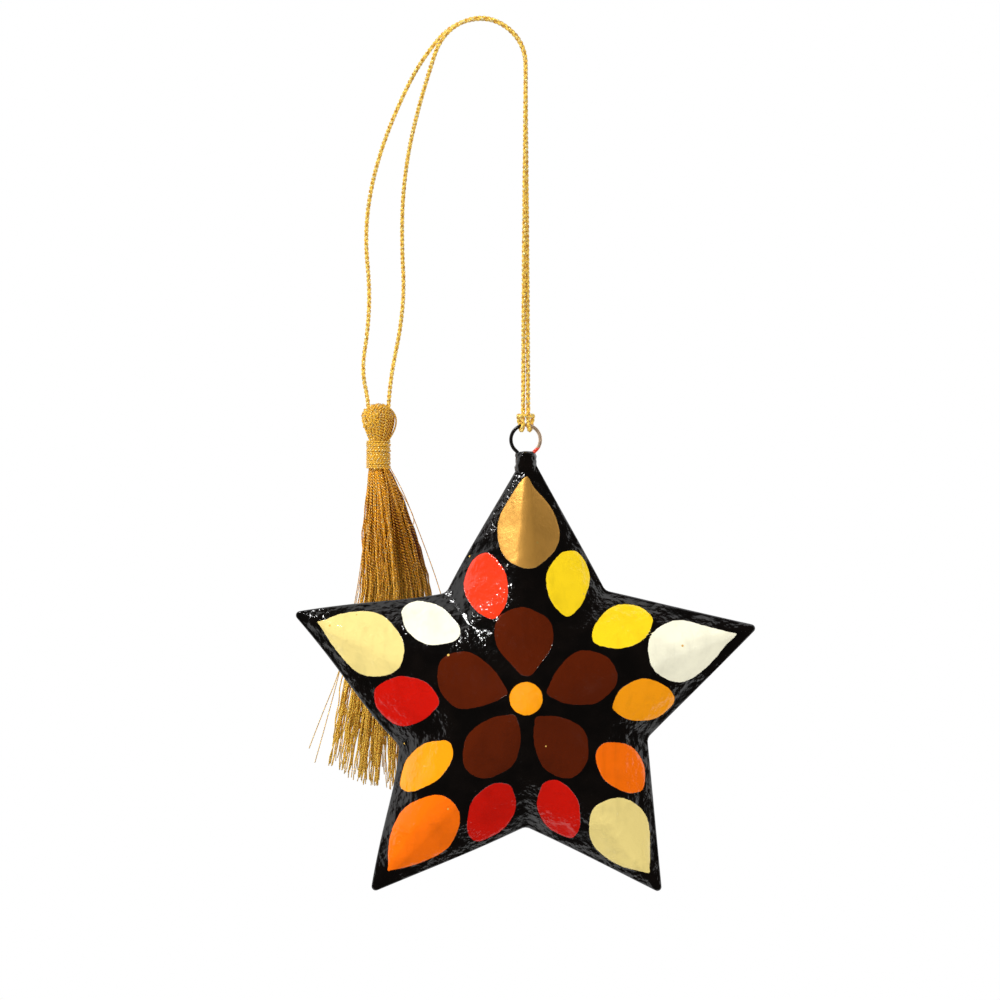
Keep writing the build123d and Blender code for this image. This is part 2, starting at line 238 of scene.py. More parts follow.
# Painted rosette
# Dabs of thick hand-mixed paint under the varnish, each brushed on in one or two strokes, wobbly at the edge.
# A plain five-fold rosette: leaves on the tips, petals between them, a brown flower in the middle.
PAINT_SEED = 11
PAINT_HEIGHT = 0.025
PAINT_EDGE = 0.4
PAINT_START = 0.3
OUTLINE_POINTS = 72
NEAR_DAB = 1.2


def paint(code):
    """A written colour as the renderer's linear values."""
    values = [int(code[i : i + 2], 16) / 255 for i in (0, 2, 4)]
    return [c / 12.92 if c <= 0.04045 else ((c + 0.055) / 1.055) ** 2.4 for c in values]


# Each paint: its colour, and 1 where it is metallic
GOLD = (paint("E8AC50"), 1.0)
CREAM = (paint("FFFBE0"), 0.0)
STRAW = (paint("F2DC8A"), 0.0)
YELLOW = (paint("FFD91F"), 0.0)
AMBER = (paint("FFA010"), 0.0)
ORANGE = (paint("FF7208"), 0.0)
CORAL = (paint("F23A1A"), 0.0)
RED = (paint("CC1206"), 0.0)
BROWN = (paint("541A04"), 0.0)
LEAF_PAINT = (GOLD, CREAM, STRAW, ORANGE, STRAW)
LEFT_PETAL_PAINT = (CORAL, YELLOW, ORANGE, RED, RED)
RIGHT_PETAL_PAINT = (YELLOW, AMBER, RED, AMBER, CREAM)
# Each dab: along the arm, across it, half length, half width, lean, how pointed outward and inward
TIP_LEAF = (28.9, 0.0, 7.5, 6.0, 0, 0.85, 0.05)
SIDE_PETAL = (18.7, 6.5, 5.3, 4.1, 5, 0.3, 0.3)
FLOWER_PETAL = (9.3, 0.0, 5.8, 5.3, 0, 0.1, 0.6)
MIDDLE_DOT = 2.7
POINTED_POWER = 2.2
# Waves round a dab's edge: how many, and how high for its size
EDGE_WAVES = ((2, 0.035), (3, 0.03), (7, 0.012))
ANY_TURN = 6.3
HAND_SHIFT = 0.3
HAND_LEAN = 5
LACQUER_DEEP = (0.001, 0.0008, 0.0008, 1)
LACQUER_BROWN = (0.003, 0.002, 0.0017, 1)
FLECK_GOLD = (0.75, 0.46, 0.1, 1)
BARE_BLACK = (0.0, 0.0, 0.0, 1)
# Marks to the metre
PEBBLES = 1300.0
BRUSH_MARKS = 500.0
LACQUER_SWELLS = 260.0
FRAYS = 1100.0
PAINT_STREAKS = 620.0
PAINT_CLOUDS = 210.0
FLECK_CELLS = 260.0
FLECK_SIZE = 0.055
FLECK_FEW = 0.54
LACQUER_GLOSS = (0.05, 0.14)
LACQUER_SHEEN = 0.6
GILT_ROUGH = 0.34
GILT_METAL = 0.7


def dab_outline(shape, arm_angle, mirror, hand):
    """The wobbly outline of one dab, in the star's plane."""
    along, across, half_length, half_width, lean, out, inward = shape
    turn = np.arange(OUTLINE_POINTS) / OUTLINE_POINTS * 2 * math.pi
    taper = 1 - out * ((1 + np.cos(turn)) / 2) ** POINTED_POWER
    taper = taper * (1 - inward * ((1 - np.cos(turn)) / 2) ** POINTED_POWER)
    wobble = 1
    for waves, height in EDGE_WAVES:
        wobble = wobble + height * np.sin(waves * turn + hand.uniform(0, ANY_TURN))
    u = half_length * np.cos(turn) * wobble
    v = half_width * np.sin(turn) * taper * wobble
    lean = math.radians(lean + hand.uniform(-HAND_LEAN, HAND_LEAN))
    u, v = u * math.cos(lean) - v * math.sin(lean), u * math.sin(lean) + v * math.cos(lean)
    u = u + along + hand.uniform(-HAND_SHIFT, HAND_SHIFT)
    v = mirror * (v + across + hand.uniform(-HAND_SHIFT, HAND_SHIFT))
    x = u * math.sin(arm_angle) + v * math.cos(arm_angle)
    z = u * math.cos(arm_angle) - v * math.sin(arm_angle)
    return np.stack([x, z], axis=1)


def inside_reach(places, outline):
    """Distance to an outline, positive inside it."""
    after = np.roll(outline, -1, axis=0)
    edge = after - outline
    away = places[:, None] - outline[None]
    share = np.clip((away * edge).sum(2) / (edge * edge).sum(1), 0, 1)
    reach = np.linalg.norm(away - share[..., None] * edge, axis=2).min(1)
    spans = (outline[:, 1] > places[:, None, 1]) != (after[:, 1] > places[:, None, 1])
    rise = np.where(edge[:, 1] == 0, 1e-9, edge[:, 1])
    crossing = outline[:, 0] + edge[:, 0] * (places[:, None, 1] - outline[:, 1]) / rise
    inside = (spans & (places[:, None, 0] < crossing)).sum(1) % 2 == 1
    return np.where(inside, reach, -reach)


def rosette():
    """All the dabs as outlines with their paint."""
    hand = random.Random(PAINT_SEED)
    dabs = []
    for arm in range(ARMS):
        on_arm = math.radians(ARM_DEGREES * arm)
        for shape, mirror, dab_paint in (
            (TIP_LEAF, 1, LEAF_PAINT[arm]),
            (SIDE_PETAL, -1, LEFT_PETAL_PAINT[arm]),
            (SIDE_PETAL, 1, RIGHT_PETAL_PAINT[arm]),
            (FLOWER_PETAL, 1, BROWN),
        ):
            dabs.append((dab_outline(shape, on_arm, mirror, hand), dab_paint))
    return dabs


def paint_rosette(places):
    """For each place: how far it lies inside a dab, that dab's colour, and how metallic it is."""
    edge = np.full(len(places), -NEAR_DAB)
    colour = np.zeros((len(places), 4))
    colour[:, 3] = 1
    metal = np.zeros(len(places))

    def lay(near, reach, dab_paint):
        better = reach > edge[near]
        chosen = near[better]
        edge[chosen] = reach[better]
        colour[chosen, :3] = dab_paint[0]
        metal[chosen] = dab_paint[1]

    for outline, dab_paint in rosette():
        middle = outline.mean(0)
        size = np.linalg.norm(outline - middle, axis=1).max() + NEAR_DAB
        near = np.nonzero(np.linalg.norm(places - middle, axis=1) < size)[0]
        lay(near, inside_reach(places[near], outline), dab_paint)
    from_middle = np.linalg.norm(places, axis=1)
    near = np.nonzero(from_middle < MIDDLE_DOT + NEAR_DAB)[0]
    lay(near, MIDDLE_DOT - from_middle[near], AMBER)
    return edge, colour, metal


def star_half(name, side):
    """One lacquered half, with the rosette kept on its points for the material."""
    rings, plain_places = star_half_rings(side)
    crown = [(STAR_X, side * HALF_DEPTH, STAR_Z)]
    hollow_crown = [(STAR_X, side * (SEAM_DEPTH + HALF_DEPTH - SHELL_WALL), STAR_Z)]
    places = np.concatenate([crown, *rings, hollow_crown])
    piece = new_piece(name, places, rings_to_faces(len(rings), len(rings[0])))
    outer = np.concatenate([[(0.0, 0.0)], plain_places])
    edge, colour, metal = paint_rosette(outer)
    rest = len(places) - len(outer)
    edge = np.concatenate([edge, np.full(rest, -NEAR_DAB)])
    colour = np.concatenate([colour, np.tile(BARE_BLACK, (rest, 1))])
    metal = np.concatenate([metal, np.zeros(rest)])
    heights = hand_unevenness(piece, SWELL_SIZE, SWELL_HEIGHT, LUMP_SIZE, LUMP_HEIGHT)
    heights = heights + PAINT_HEIGHT * np.clip(edge / PAINT_EDGE + PAINT_START, 0, 1)
    last_outer = len(outer) - len(rings[0])
    heights[last_outer:] = 0
    push_out(piece, heights)
    mesh = piece.data
    mesh.attributes.new("dab_edge", "FLOAT", "POINT").data.foreach_set("value", edge)
    mesh.attributes.new("dab_metal", "FLOAT", "POINT").data.foreach_set("value", metal)
    dab_colour = mesh.color_attributes.new("dab_colour", "FLOAT_COLOR", "POINT")
    dab_colour.data.foreach_set("color", colour.ravel())
    return piece


def fill(tree, made, values):
    """Sets a node's inputs, or links them where the value is another node's output."""
    for name, value in values.items():
        if isinstance(value, bpy.types.NodeSocket):
            tree.links.new(value, made.inputs[name])
        else:
            made.inputs[name].default_value = value
    return made


def put(tree, kind, values=None, **settings):
    """A new shader node with its settings and its inputs."""
    made = tree.nodes.new(kind)
    for name, value in settings.items():
        setattr(made, name, value)
    return fill(tree, made, values or {})


def maths(tree, operation, *values, clamp=False):
    """One step of arithmetic on up to three values."""
    made = put(tree, "ShaderNodeMath", dict(enumerate(values)), operation=operation, use_clamp=clamp)
    return made.outputs[0]


def ramp(tree, value, low, high):
    """A smooth 0 to 1 between two values."""
    given = {"Value": value, "From Min": low, "From Max": high}
    return put(tree, "ShaderNodeMapRange", given, interpolation_type="SMOOTHSTEP").outputs["Result"]


def mix(tree, share, first, second):
    """One colour over another by a share."""
    made = put(tree, "ShaderNodeMix", data_type="RGBA")
    return fill(tree, made, {0: share, 6: first, 7: second}).outputs[2]


def own_place(tree):
    """Where a point lies on its own piece."""
    return put(tree, "ShaderNodeTexCoord").outputs["Object"]


def drawn_out(tree, place, lean, share):
    """Places drawn out upward by a share, for brush marks and threads."""
    given = {"Vector": place, "Rotation": (0.0, lean, 0.0), "Scale": (1.0, 1.0, share)}
    return put(tree, "ShaderNodeMapping", given).outputs[0]


def marks(tree, place, scale, detail):
    """Soft random marks from 0 to 1, so many to the metre."""
    return put(tree, "ShaderNodeTexNoise", {"Vector": place, "Scale": scale, "Detail": detail}).outputs["Fac"]


def relief(tree, height, strength, distance):
    """The normal of a fine relief."""
    given = {"Height": height, "Strength": strength, "Distance": distance}
    return put(tree, "ShaderNodeBump", given).outputs[0]


def kept_on_points(tree, name):
    """A value that the mesh keeps on its points."""
    return put(tree, "ShaderNodeAttribute", attribute_name=name).outputs


def new_group(name, inputs, outputs):
    """An empty shader node group: its tree, its input sockets and its output node."""
    group = bpy.data.node_groups.new(name, "ShaderNodeTree")
    for socket, kind, value in inputs:
        made = group.interface.new_socket(name=socket, in_out="INPUT", socket_type=kind)
        made.default_value = value
    for socket, kind in outputs:
        group.interface.new_socket(name=socket, in_out="OUTPUT", socket_type=kind)
    return group, group.nodes.new("NodeGroupInput").outputs, group.nodes.new("NodeGroupOutput")


def use_group(tree, group, values):
    """A group placed in a material with its own values."""
    return put(tree, "ShaderNodeGroup", values, node_tree=group).outputs


def new_material(name):
    """A node material: its tree and its Principled shader."""
    material = bpy.data.materials.new(name)
    material.use_nodes = True
    return material, material.node_tree, material.node_tree.nodes["Principled BSDF"]


def brushed_lacquer_group():
    """Thick brushed lacquer: near-black colour, uneven gloss, and the height of pebbles and brush marks."""
    inputs = [("Pebble", "NodeSocketFloat", PEBBLES), ("Brush", "NodeSocketFloat", BRUSH_MARKS)]
    outputs = [
        ("Colour", "NodeSocketColor"),
        ("Roughness", "NodeSocketFloat"),
        ("Height", "NodeSocketFloat"),
    ]
    group, given, result = new_group("brushed_lacquer", inputs, outputs)
    place = own_place(group)
    pebbles = marks(group, place, given["Pebble"], 2.0)
    strokes = marks(group, drawn_out(group, place, 0.6, 0.12), given["Brush"], 4.0)
    swells = marks(group, place, LACQUER_SWELLS, 2.0)
    colour = mix(group, ramp(group, swells, 0.35, 0.7), LACQUER_DEEP, LACQUER_BROWN)
    gloss = maths(group, "MULTIPLY_ADD", pebbles, LACQUER_GLOSS[1], LACQUER_GLOSS[0])
    thin = maths(group, "MULTIPLY_ADD", ramp(group, swells, 0.4, 0.65), 0.8, 0.25)
    high = maths(group, "MULTIPLY", pebbles, thin)
    high = maths(group, "MULTIPLY_ADD", strokes, 0.35, high)
    high = maths(group, "MULTIPLY_ADD", swells, 0.8, high)
    fill(group, result, {"Colour": colour, "Roughness": gloss, "Height": high})
    return group


lacquer = brushed_lacquer_group()


def painted_lacquer():
    """The star's skin: lacquer ground, painted dabs with brush streaks, gold flecks, and gloss over all."""
    material, tree, shader = new_material("painted_lacquer")
    ground = use_group(tree, lacquer, {"Pebble": PEBBLES, "Brush": BRUSH_MARKS})
    place = own_place(tree)
    edge = kept_on_points(tree, "dab_edge")["Fac"]
    dab = kept_on_points(tree, "dab_colour")["Color"]
    metal = kept_on_points(tree, "dab_metal")["Fac"]
    frayed = maths(tree, "MULTIPLY_ADD", marks(tree, place, FRAYS, 2.0), 0.22, -0.11)
    within = maths(tree, "ADD", edge, frayed)
    mask = ramp(tree, within, -0.05, 0.05)
    streaks = marks(tree, drawn_out(tree, place, 0.3, 0.16), PAINT_STREAKS, 5.0)
    clouds = marks(tree, place, PAINT_CLOUDS, 3.0)
    thin = maths(tree, "MULTIPLY", ramp(tree, streaks, 0.52, 0.85), 0.22)
    cloudy = maths(tree, "MULTIPLY", ramp(tree, clouds, 0.45, 0.75), 0.2)
    deeper = mix(tree, 0.62, dab, BARE_BLACK)
    body = mix(tree, thin, dab, deeper)
    body = mix(tree, cloudy, body, deeper)
    colour = mix(tree, mask, ground["Colour"], body)
    cells = put(tree, "ShaderNodeTexVoronoi", {"Vector": place, "Scale": FLECK_CELLS}).outputs
    spot = maths(tree, "LESS_THAN", cells["Distance"], FLECK_SIZE)
    few = put(tree, "ShaderNodeSeparateColor", {"Color": cells["Color"]}).outputs["Red"]
    fleck = maths(tree, "MULTIPLY", spot, maths(tree, "GREATER_THAN", few, FLECK_FEW))
    colour = mix(tree, fleck, colour, FLECK_GOLD)
    gilt = maths(tree, "MULTIPLY", mask, metal)
    rough = maths(tree, "MULTIPLY_ADD", gilt, GILT_ROUGH, ground["Roughness"])
    shine = maths(tree, "MULTIPLY", gilt, GILT_METAL)
    step = maths(tree, "MULTIPLY", ramp(tree, within, -0.1, 0.2), 0.12)
    cover = maths(tree, "MULTIPLY_ADD", mask, 0.35, maths(tree, "MULTIPLY", gilt, 0.35))
    high = maths(tree, "MULTIPLY_ADD", ground["Height"], maths(tree, "SUBTRACT", 1.0, cover), step)
    high = maths(tree, "MULTIPLY_ADD", streaks, maths(tree, "MULTIPLY", mask, 0.2), high)
    skin = {
        "Base Color": colour,
        "Metallic": shine,
        "Roughness": rough,
        "Normal": relief(tree, high, 1.0, 0.0002),
        "Specular IOR Level": LACQUER_SHEEN,
    }
    fill(tree, shader, skin)
    return material


star_skin = painted_lacquer()
for half_name, shell_node, facing in (
    ("star_front_lacquer", "star_front_shell", -1),
    ("star_back_lacquer", "star_back_shell", 1),
):
    half = star_half(half_name, facing)
    half.data.materials.append(star_skin)
    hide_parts(shell_node)
    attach(half, "star")

# Glue seam
# A thin line of dried glue between the two rims, squeezed flat when the halves were pressed together
# and browned by the lacquer over it. It follows the uneven rim.
SEAM_PROFILE = ((-0.1, -0.3), (-0.03, -0.2), (0.03, -0.2), (0.1, -0.3), (0.1, -1.9), (-0.1, -1.9))
GLUE_GRAINS = 800.0
GLUE_DEEP = (0.006, 0.004, 0.003, 1)
GLUE_BROWN = (0.03, 0.017, 0.009, 1)
GLUE_ROUGH = 0.45


def glue_line():
    """The seam's profile carried round the rim."""
    columns = star_columns()
    rim = star_level(0, TIP_REACH, NOTCH_REACH, columns[0])
    rings = [uneven_ring(columns, rim + grow, depth, 1) for depth, grow in SEAM_PROFILE]
    count = len(rim)
    faces = []
    for ring in range(len(rings)):
        low = ring * count
        high = (ring + 1) % len(rings) * count
        for c in range(count):
            n = (c + 1) % count
            faces.append((low + c, high + c, high + n, low + n))
    return new_piece("glue_line", np.concatenate(rings), faces)


def dried_glue():
    """Brown glue with a fine grain."""
    material, tree, shader = new_material("dried_glue")
    grains = marks(tree, own_place(tree), GLUE_GRAINS, 4.0)
    colour = mix(tree, grains, GLUE_DEEP, GLUE_BROWN)
    normal = relief(tree, grains, 0.3, 0.0001)
    fill(tree, shader, {"Base Color": colour, "Normal": normal, "Roughness": GLUE_ROUGH})
    return material


seam = glue_line()
seam.data.materials.append(dried_glue())
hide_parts("glue_seam")
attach(seam, "star")

# Neck filler
# A dab of filler pressed round the wire on the top point, left lumpy and lacquered over with the star.
# It sinks into the point below, so the two run together.
NECK_PROFILE = (
    (0.75, -71.93),
    (1.3, -72.0),
    (1.62, -72.25),
    (1.74, -72.7),
    (1.68, -73.3),
    (1.74, -73.9),
    (1.84, -74.5),
    (1.8, -75.1),
    (1.5, -75.8),
    (0.9, -76.3),
)
NECK_CROWN = 0.04
NECK_POINT = 0.2
NECK_COLUMNS = 56
NECK_STEPS = 6
NECK_SWELL_SIZE = 1.5
NECK_SWELL = 0.16
NECK_LUMP_SIZE = 0.55
NECK_LUMP = 0.12


def level_ring(turn, middle, half_x, half_y, height):
    """A ring of points at one height."""
    x = middle[0] + half_x * np.cos(turn)
    y = middle[1] + half_y * np.sin(turn)
    return np.stack([x, y, np.full_like(turn, height)], axis=1)


def neck_lump():
    """The filler as a turned shape, pressed uneven."""
    turn = np.arange(NECK_COLUMNS) / NECK_COLUMNS * 2 * math.pi
    rings = []
    for (r0, z0), (r1, z1) in zip(NECK_PROFILE, NECK_PROFILE[1:]):
        for step in range(NECK_STEPS):
            share = step / NECK_STEPS
            radius = r0 + (r1 - r0) * share
            rings.append(level_ring(turn, (STAR_X, 0), radius, radius, z0 + (z1 - z0) * share))
    top = [(STAR_X, 0, NECK_PROFILE[0][1] + NECK_CROWN)]
    foot = [(STAR_X, 0, NECK_PROFILE[-1][1] - NECK_POINT)]
    places = np.concatenate([top, *rings, foot])
    piece = new_piece("neck_lump", places, rings_to_faces(len(rings), NECK_COLUMNS))
    push_out(piece, hand_unevenness(piece, NECK_SWELL_SIZE, NECK_SWELL, NECK_LUMP_SIZE, NECK_LUMP))
    return piece


def plain_lacquer():
    """The star's lacquer with no paint on it."""
    material, tree, shader = new_material("plain_lacquer")
    ground = use_group(tree, lacquer, {"Pebble": PEBBLES, "Brush": BRUSH_MARKS})
    skin = {
        "Base Color": ground["Colour"],
        "Roughness": ground["Roughness"],
        "Normal": relief(tree, ground["Height"], 0.5, 0.0001),
        "Specular IOR Level": LACQUER_SHEEN,
    }
    fill(tree, shader, skin)
    return material


neck = neck_lump()
neck.data.materials.append(plain_lacquer())
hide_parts("neck_plug")
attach(neck, "star")

# Wire eye
# A loop of drawn brass wire with both legs set in the filler. Lacquer has run over its left half,
# and a touch of red paint sits low on the right leg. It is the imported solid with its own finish.
EYE_MIDDLE = STAR_X - 0.55
# The red touch: right of the first value, between the other two in height
RED_SPOT = (STAR_X + 0.6, -71.2, -73.2)
DAUB_BLUR = 0.1
DAUB_RAGS = 900.0
BRASS_WEAR = 420.0
BRASS_BRIGHT = (0.75, 0.55, 0.38, 1)
BRASS_DULL = (0.42, 0.3, 0.2, 1)
DAUB_BLACK = (0.005, 0.004, 0.004, 1)
DAUB_RED = (0.72, 0.05, 0.02, 1)
BRASS_METAL = 0.6


def daubed_brass():
    """Worn brass under daubs of lacquer and red paint with ragged edges."""
    material, tree, shader = new_material("daubed_brass")
    place = own_place(tree)
    axes = put(tree, "ShaderNodeSeparateXYZ", {"Vector": place}).outputs
    shift = maths(tree, "MULTIPLY_ADD", marks(tree, place, DAUB_RAGS, 3.0), 0.0014, -0.0007)
    across = maths(tree, "ADD", axes["X"], shift)
    up = maths(tree, "ADD", axes["Z"], shift)

    def past(value, limit, way):
        return ramp(tree, value, (limit - way * DAUB_BLUR) * MM, (limit + way * DAUB_BLUR) * MM)

    black = past(across, EYE_MIDDLE, -1)
    between = maths(tree, "MULTIPLY", past(up, RED_SPOT[1], -1), past(up, RED_SPOT[2], 1))
    red = maths(tree, "MULTIPLY", past(across, RED_SPOT[0], 1), between)
    wear_and_painted_light = marks(tree, place, BRASS_WEAR, 4.0)
    brass = mix(tree, ramp(tree, wear_and_painted_light, 0.4, 0.65), BRASS_BRIGHT, BRASS_DULL)
    colour = mix(tree, black, brass, DAUB_BLACK)
    colour = mix(tree, red, colour, DAUB_RED)
    daubed = maths(tree, "MAXIMUM", black, red)
    finish = {
        "Base Color": colour,
        "Metallic": maths(tree, "MULTIPLY_ADD", daubed, -BRASS_METAL, BRASS_METAL),
        "Roughness": maths(tree, "MULTIPLY_ADD", wear_and_painted_light, 0.3, 0.12),
        "Normal": relief(tree, wear_and_painted_light, 0.35, 0.0001),
    }
    fill(tree, shader, finish)
    return material


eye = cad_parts["wire_eye"]
eye.data.materials.clear()
eye.data.materials.append(daubed_brass())

# Gold cord
# One loop of twisted metallic yarn. Doubled, it is tied round the eye with a cow hitch, goes straight up
# and over what it is hung on, and comes down as two slack strands into the tassel's head.
HITCH_TOP_Z = -64.896
EYE_CROWN_Z = -67.496
DROP_TOP_Z = -11.5
STRAND_OFFSET = 0.42
HITCH_HEIGHT = 2.6
TASSEL_X = -17.41
TASSEL_Y = 22.0
PIVOT_Z = -65.37
LEG_OFFSET = 1.75
LEG_RUN = 2.5
KNOT_HALF = 0.75
KNOT_SIZE = 0.21
KNOT_STRETCH = 1.6
KNOT_YARN = 0.27
KNOT_STEPS = 91
PLY_SIDES = 7
PLY_RADIUS = 0.23
LAY_RADIUS = 0.16
LAY_LENGTH = 1.55
PLY_TONES = (1.0, 0.6)
STEPS_PER_LAY = 12
GOLDEN_SHARE = (math.sqrt(5) - 1) / 2
HITCH_POINTS = (
    (0.42, 0.0, 1.6),
    (0.44, -0.86, 0.35),
    (0.52, -0.8, -0.86),
    (0.82, 0.8, -0.86),
    (1.16, 0.86, 1.0),
    (1.22, 0.1, 1.6),
    (1.08, -1.0, 1.5),
)
LEFT_POINTS = (
    (7.87, 0.42, -3.97),
    (2.6, 0.7, 0.73),
    (-4.42, 2.6, -0.09),
    (-9.55, 7.0, -5.64),
    (-13.0, 11.0, -11.5),
    (-16.6, 16.0, -19.4),
    (-18.9, 20.0, -27.3),
    (-19.7, 22.0, -35.0),
    (-18.9, 22.1, -43.5),
    (-19.2, 22.0, -50.5),
    (-20.3, 22.0, -57.5),
)
RIGHT_POINTS = (
    (7.87, -0.42, -3.46),
    (1.31, -0.2, 1.25),
    (-6.0, 1.6, -1.5),
    (-8.8, 6.2, -9.3),
    (-10.6, 11.0, -14.8),
    (-12.2, 15.6, -21.0),
    (-13.2, 19.3, -28.5),
    (-13.35, 22.0, -36.4),
    (-12.95, 22.1, -43.5),
    (-13.6, 22.0, -50.5),
    (-15.0, 22.0, -57.2),
)
# The foil's windings and glints: marks to the metre, where each begins and is full, and its share. The
# painted glint is a painted highlight: pale gold painted on bright turns where the glint marks are high, and
# made more metallic there.
GLINTS = 2600.0
WORN_PATCHES = 260.0
# The windings' share paints deep gold in the grooves between turns as painted shade.
WINDING = (0.2, 0.6, 0.95)
WORN_SHARE = 0.35
TONE_MIDDLE = 0.26
TONE_SHARE = 1.15
PAINTED_GLINT = (1.0, 0.9, 0.5, 1)
PAINTED_GLINT_METAL = 0.5
PAINTED_GLINT_SPOTS = (0.5, 0.6)
PAINTED_GLINT_TURNS = (0.4, 0.75)
YARN_GLOSS = (0.12, 0.3)
YARN_SHEEN = 0.15
GLINT_HEIGHT = 1.3
FOIL_RELIEF = 0.00017


def cord_run(sign, points):
    """The route of one half of the loop, from the knot in the tassel's head to the hitch."""
    slant = STRAND_OFFSET * math.sqrt(0.5)
    leg_x = TASSEL_X + sign * LEG_OFFSET
    middle_z = (HITCH_TOP_Z + DROP_TOP_Z) / 2
    return [
        (TASSEL_X + sign * KNOT_HALF, TASSEL_Y, PIVOT_Z),
        (leg_x, TASSEL_Y, PIVOT_Z),
        (leg_x, TASSEL_Y, PIVOT_Z + LEG_RUN),
        *reversed(points),
        (STAR_X, -sign * STRAND_OFFSET, DROP_TOP_Z),
        (STAR_X - sign * slant, -sign * slant, middle_z),
        (STAR_X - sign * STRAND_OFFSET, 0, HITCH_TOP_Z),
    ]


def hitch_route():
    """The route of the hitch, the same on both sides."""
    half = [(STRAND_OFFSET, 0, HITCH_HEIGHT), *HITCH_POINTS]
    other = [(-x, y, z) for x, y, z in reversed(half)]
    return [(STAR_X + x, y, EYE_CROWN_Z + z) for x, y, z in half + other]


def smooth_line(points):
    """The points of a smooth spline through a route, in millimetres."""
    curve = bpy.data.curves.new("route", "CURVE")
    curve.dimensions = "3D"
    curve.resolution_u = 24
    spline = curve.splines.new("NURBS")
    spline.points.add(len(points) - 1)
    for point, place in zip(spline.points, points):
        point.co = (*place, 1)
    spline.order_u = 3
    spline.use_endpoint_u = True
    holder = bpy.data.objects.new("route", curve)
    bpy.context.scene.collection.objects.link(holder)
    bpy.context.view_layer.update()
    shown = holder.evaluated_get(bpy.context.evaluated_depsgraph_get())
    line = bpy.data.meshes.new_from_object(shown)
    places = np.array([v.co for v in line.vertices], float)
    bpy.data.objects.remove(holder)
    bpy.data.curves.remove(curve)
    bpy.data.meshes.remove(line)
    return places


def gone_along(places):
    """How far along a line each of its points lies."""
    return np.concatenate([[0], np.cumsum(np.linalg.norm(np.diff(places, axis=0), axis=1))])


def even_steps(places, step):
    """The same line at even steps, and how far along each lies."""
    gone = gone_along(places)
    count = max(2, int(round(gone[-1] / step)) + 1)
    along = np.linspace(0, gone[-1], count)
    return np.stack([np.interp(along, gone, places[:, k]) for k in range(3)], axis=1), along


def side_ways(places):
    """Two directions across a line at each of its points, carried along it without twist."""
    ways = np.gradient(places, axis=0)
    ways = ways / np.linalg.norm(ways, axis=1)[:, None]
    start = np.cross(ways[0], (0.0, 1.0, 0.0))
    if np.linalg.norm(start) < 0.1:
        start = np.cross(ways[0], (1.0, 0.0, 0.0))
    first = [start / np.linalg.norm(start)]
    for way in ways[1:]:
        carried = first[-1] - way * first[-1].dot(way)
        first.append(carried / np.linalg.norm(carried))
    first = np.array(first)
    return first, np.cross(ways, first)


def new_batch():
    """An empty batch of yarns that become one piece."""
    return {"places": [], "faces": [], "lay": [], "tones": [], "yarns": 0}


def add_tube(batch, places, along, radii, sides, tone):
    """Adds a round yarn to a batch, with each corner's place round the yarn and along it, and its tone.

    A tone of 0 is a deep gold yarn and 1 a bright one."""
    first, second = side_ways(places)
    along = np.asarray(along) + batch["yarns"] * GOLDEN_SHARE
    batch["yarns"] += 1
    turn = np.arange(sides) / sides * 2 * math.pi
    base = len(batch["places"])
    around = first[:, None] * np.cos(turn)[None, :, None] + second[:, None] * np.sin(turn)[None, :, None]
    tube = places[:, None] + around * np.asarray(radii).reshape(-1, 1, 1)
    batch["places"].extend(tube.reshape(-1, 3))
    batch["tones"].extend([tone] * (len(places) * sides))
    for i in range(len(places) - 1):
        low = base + i * sides
        here, there = along[i], along[i + 1]
        for k in range(sides):
            n = (k + 1) % sides
            batch["faces"].append((low + k, low + n, low + sides + n, low + sides + k))
            left, right = k / sides, (k + 1) / sides
            batch["lay"].extend([(left, here), (right, here), (right, there), (left, there)])
    for ring, order in ((0, -1), (len(places) - 1, 1)):
        low = base + ring * sides
        batch["faces"].append(tuple(low + k for k in range(sides))[::order])
        batch["lay"].extend([(0.5, along[ring])] * sides)


def yarn_piece(name, batch):
    """A batch of yarns as one piece."""
    mesh = bpy.data.meshes.new(name)
    mesh.from_pydata([tuple(p * MM) for p in batch["places"]], [], batch["faces"])
    layer = mesh.uv_layers.new(name="lay")
    layer.data.foreach_set("uv", np.array(batch["lay"]).ravel())
    mesh.attributes.new("tone", "FLOAT", "POINT").data.foreach_set("value", batch["tones"])
    return link_piece(name, mesh)


def twisted_cord(name, route):
    """A cord of two plies laid round a smooth line, that line's points and its length."""
    line = smooth_line(route)
    places, along = even_steps(line, LAY_LENGTH / STEPS_PER_LAY)
    first, second = side_ways(places)
    batch = new_batch()
    for ply, tone in enumerate(PLY_TONES):
        turn = (along / LAY_LENGTH + ply / len(PLY_TONES)) * 2 * math.pi
        offset = first * np.cos(turn)[:, None] + second * np.sin(turn)[:, None]
        add_tube(batch, places + offset * LAY_RADIUS, along, PLY_RADIUS, PLY_SIDES, tone)
    return yarn_piece(name, batch), line, along[-1]


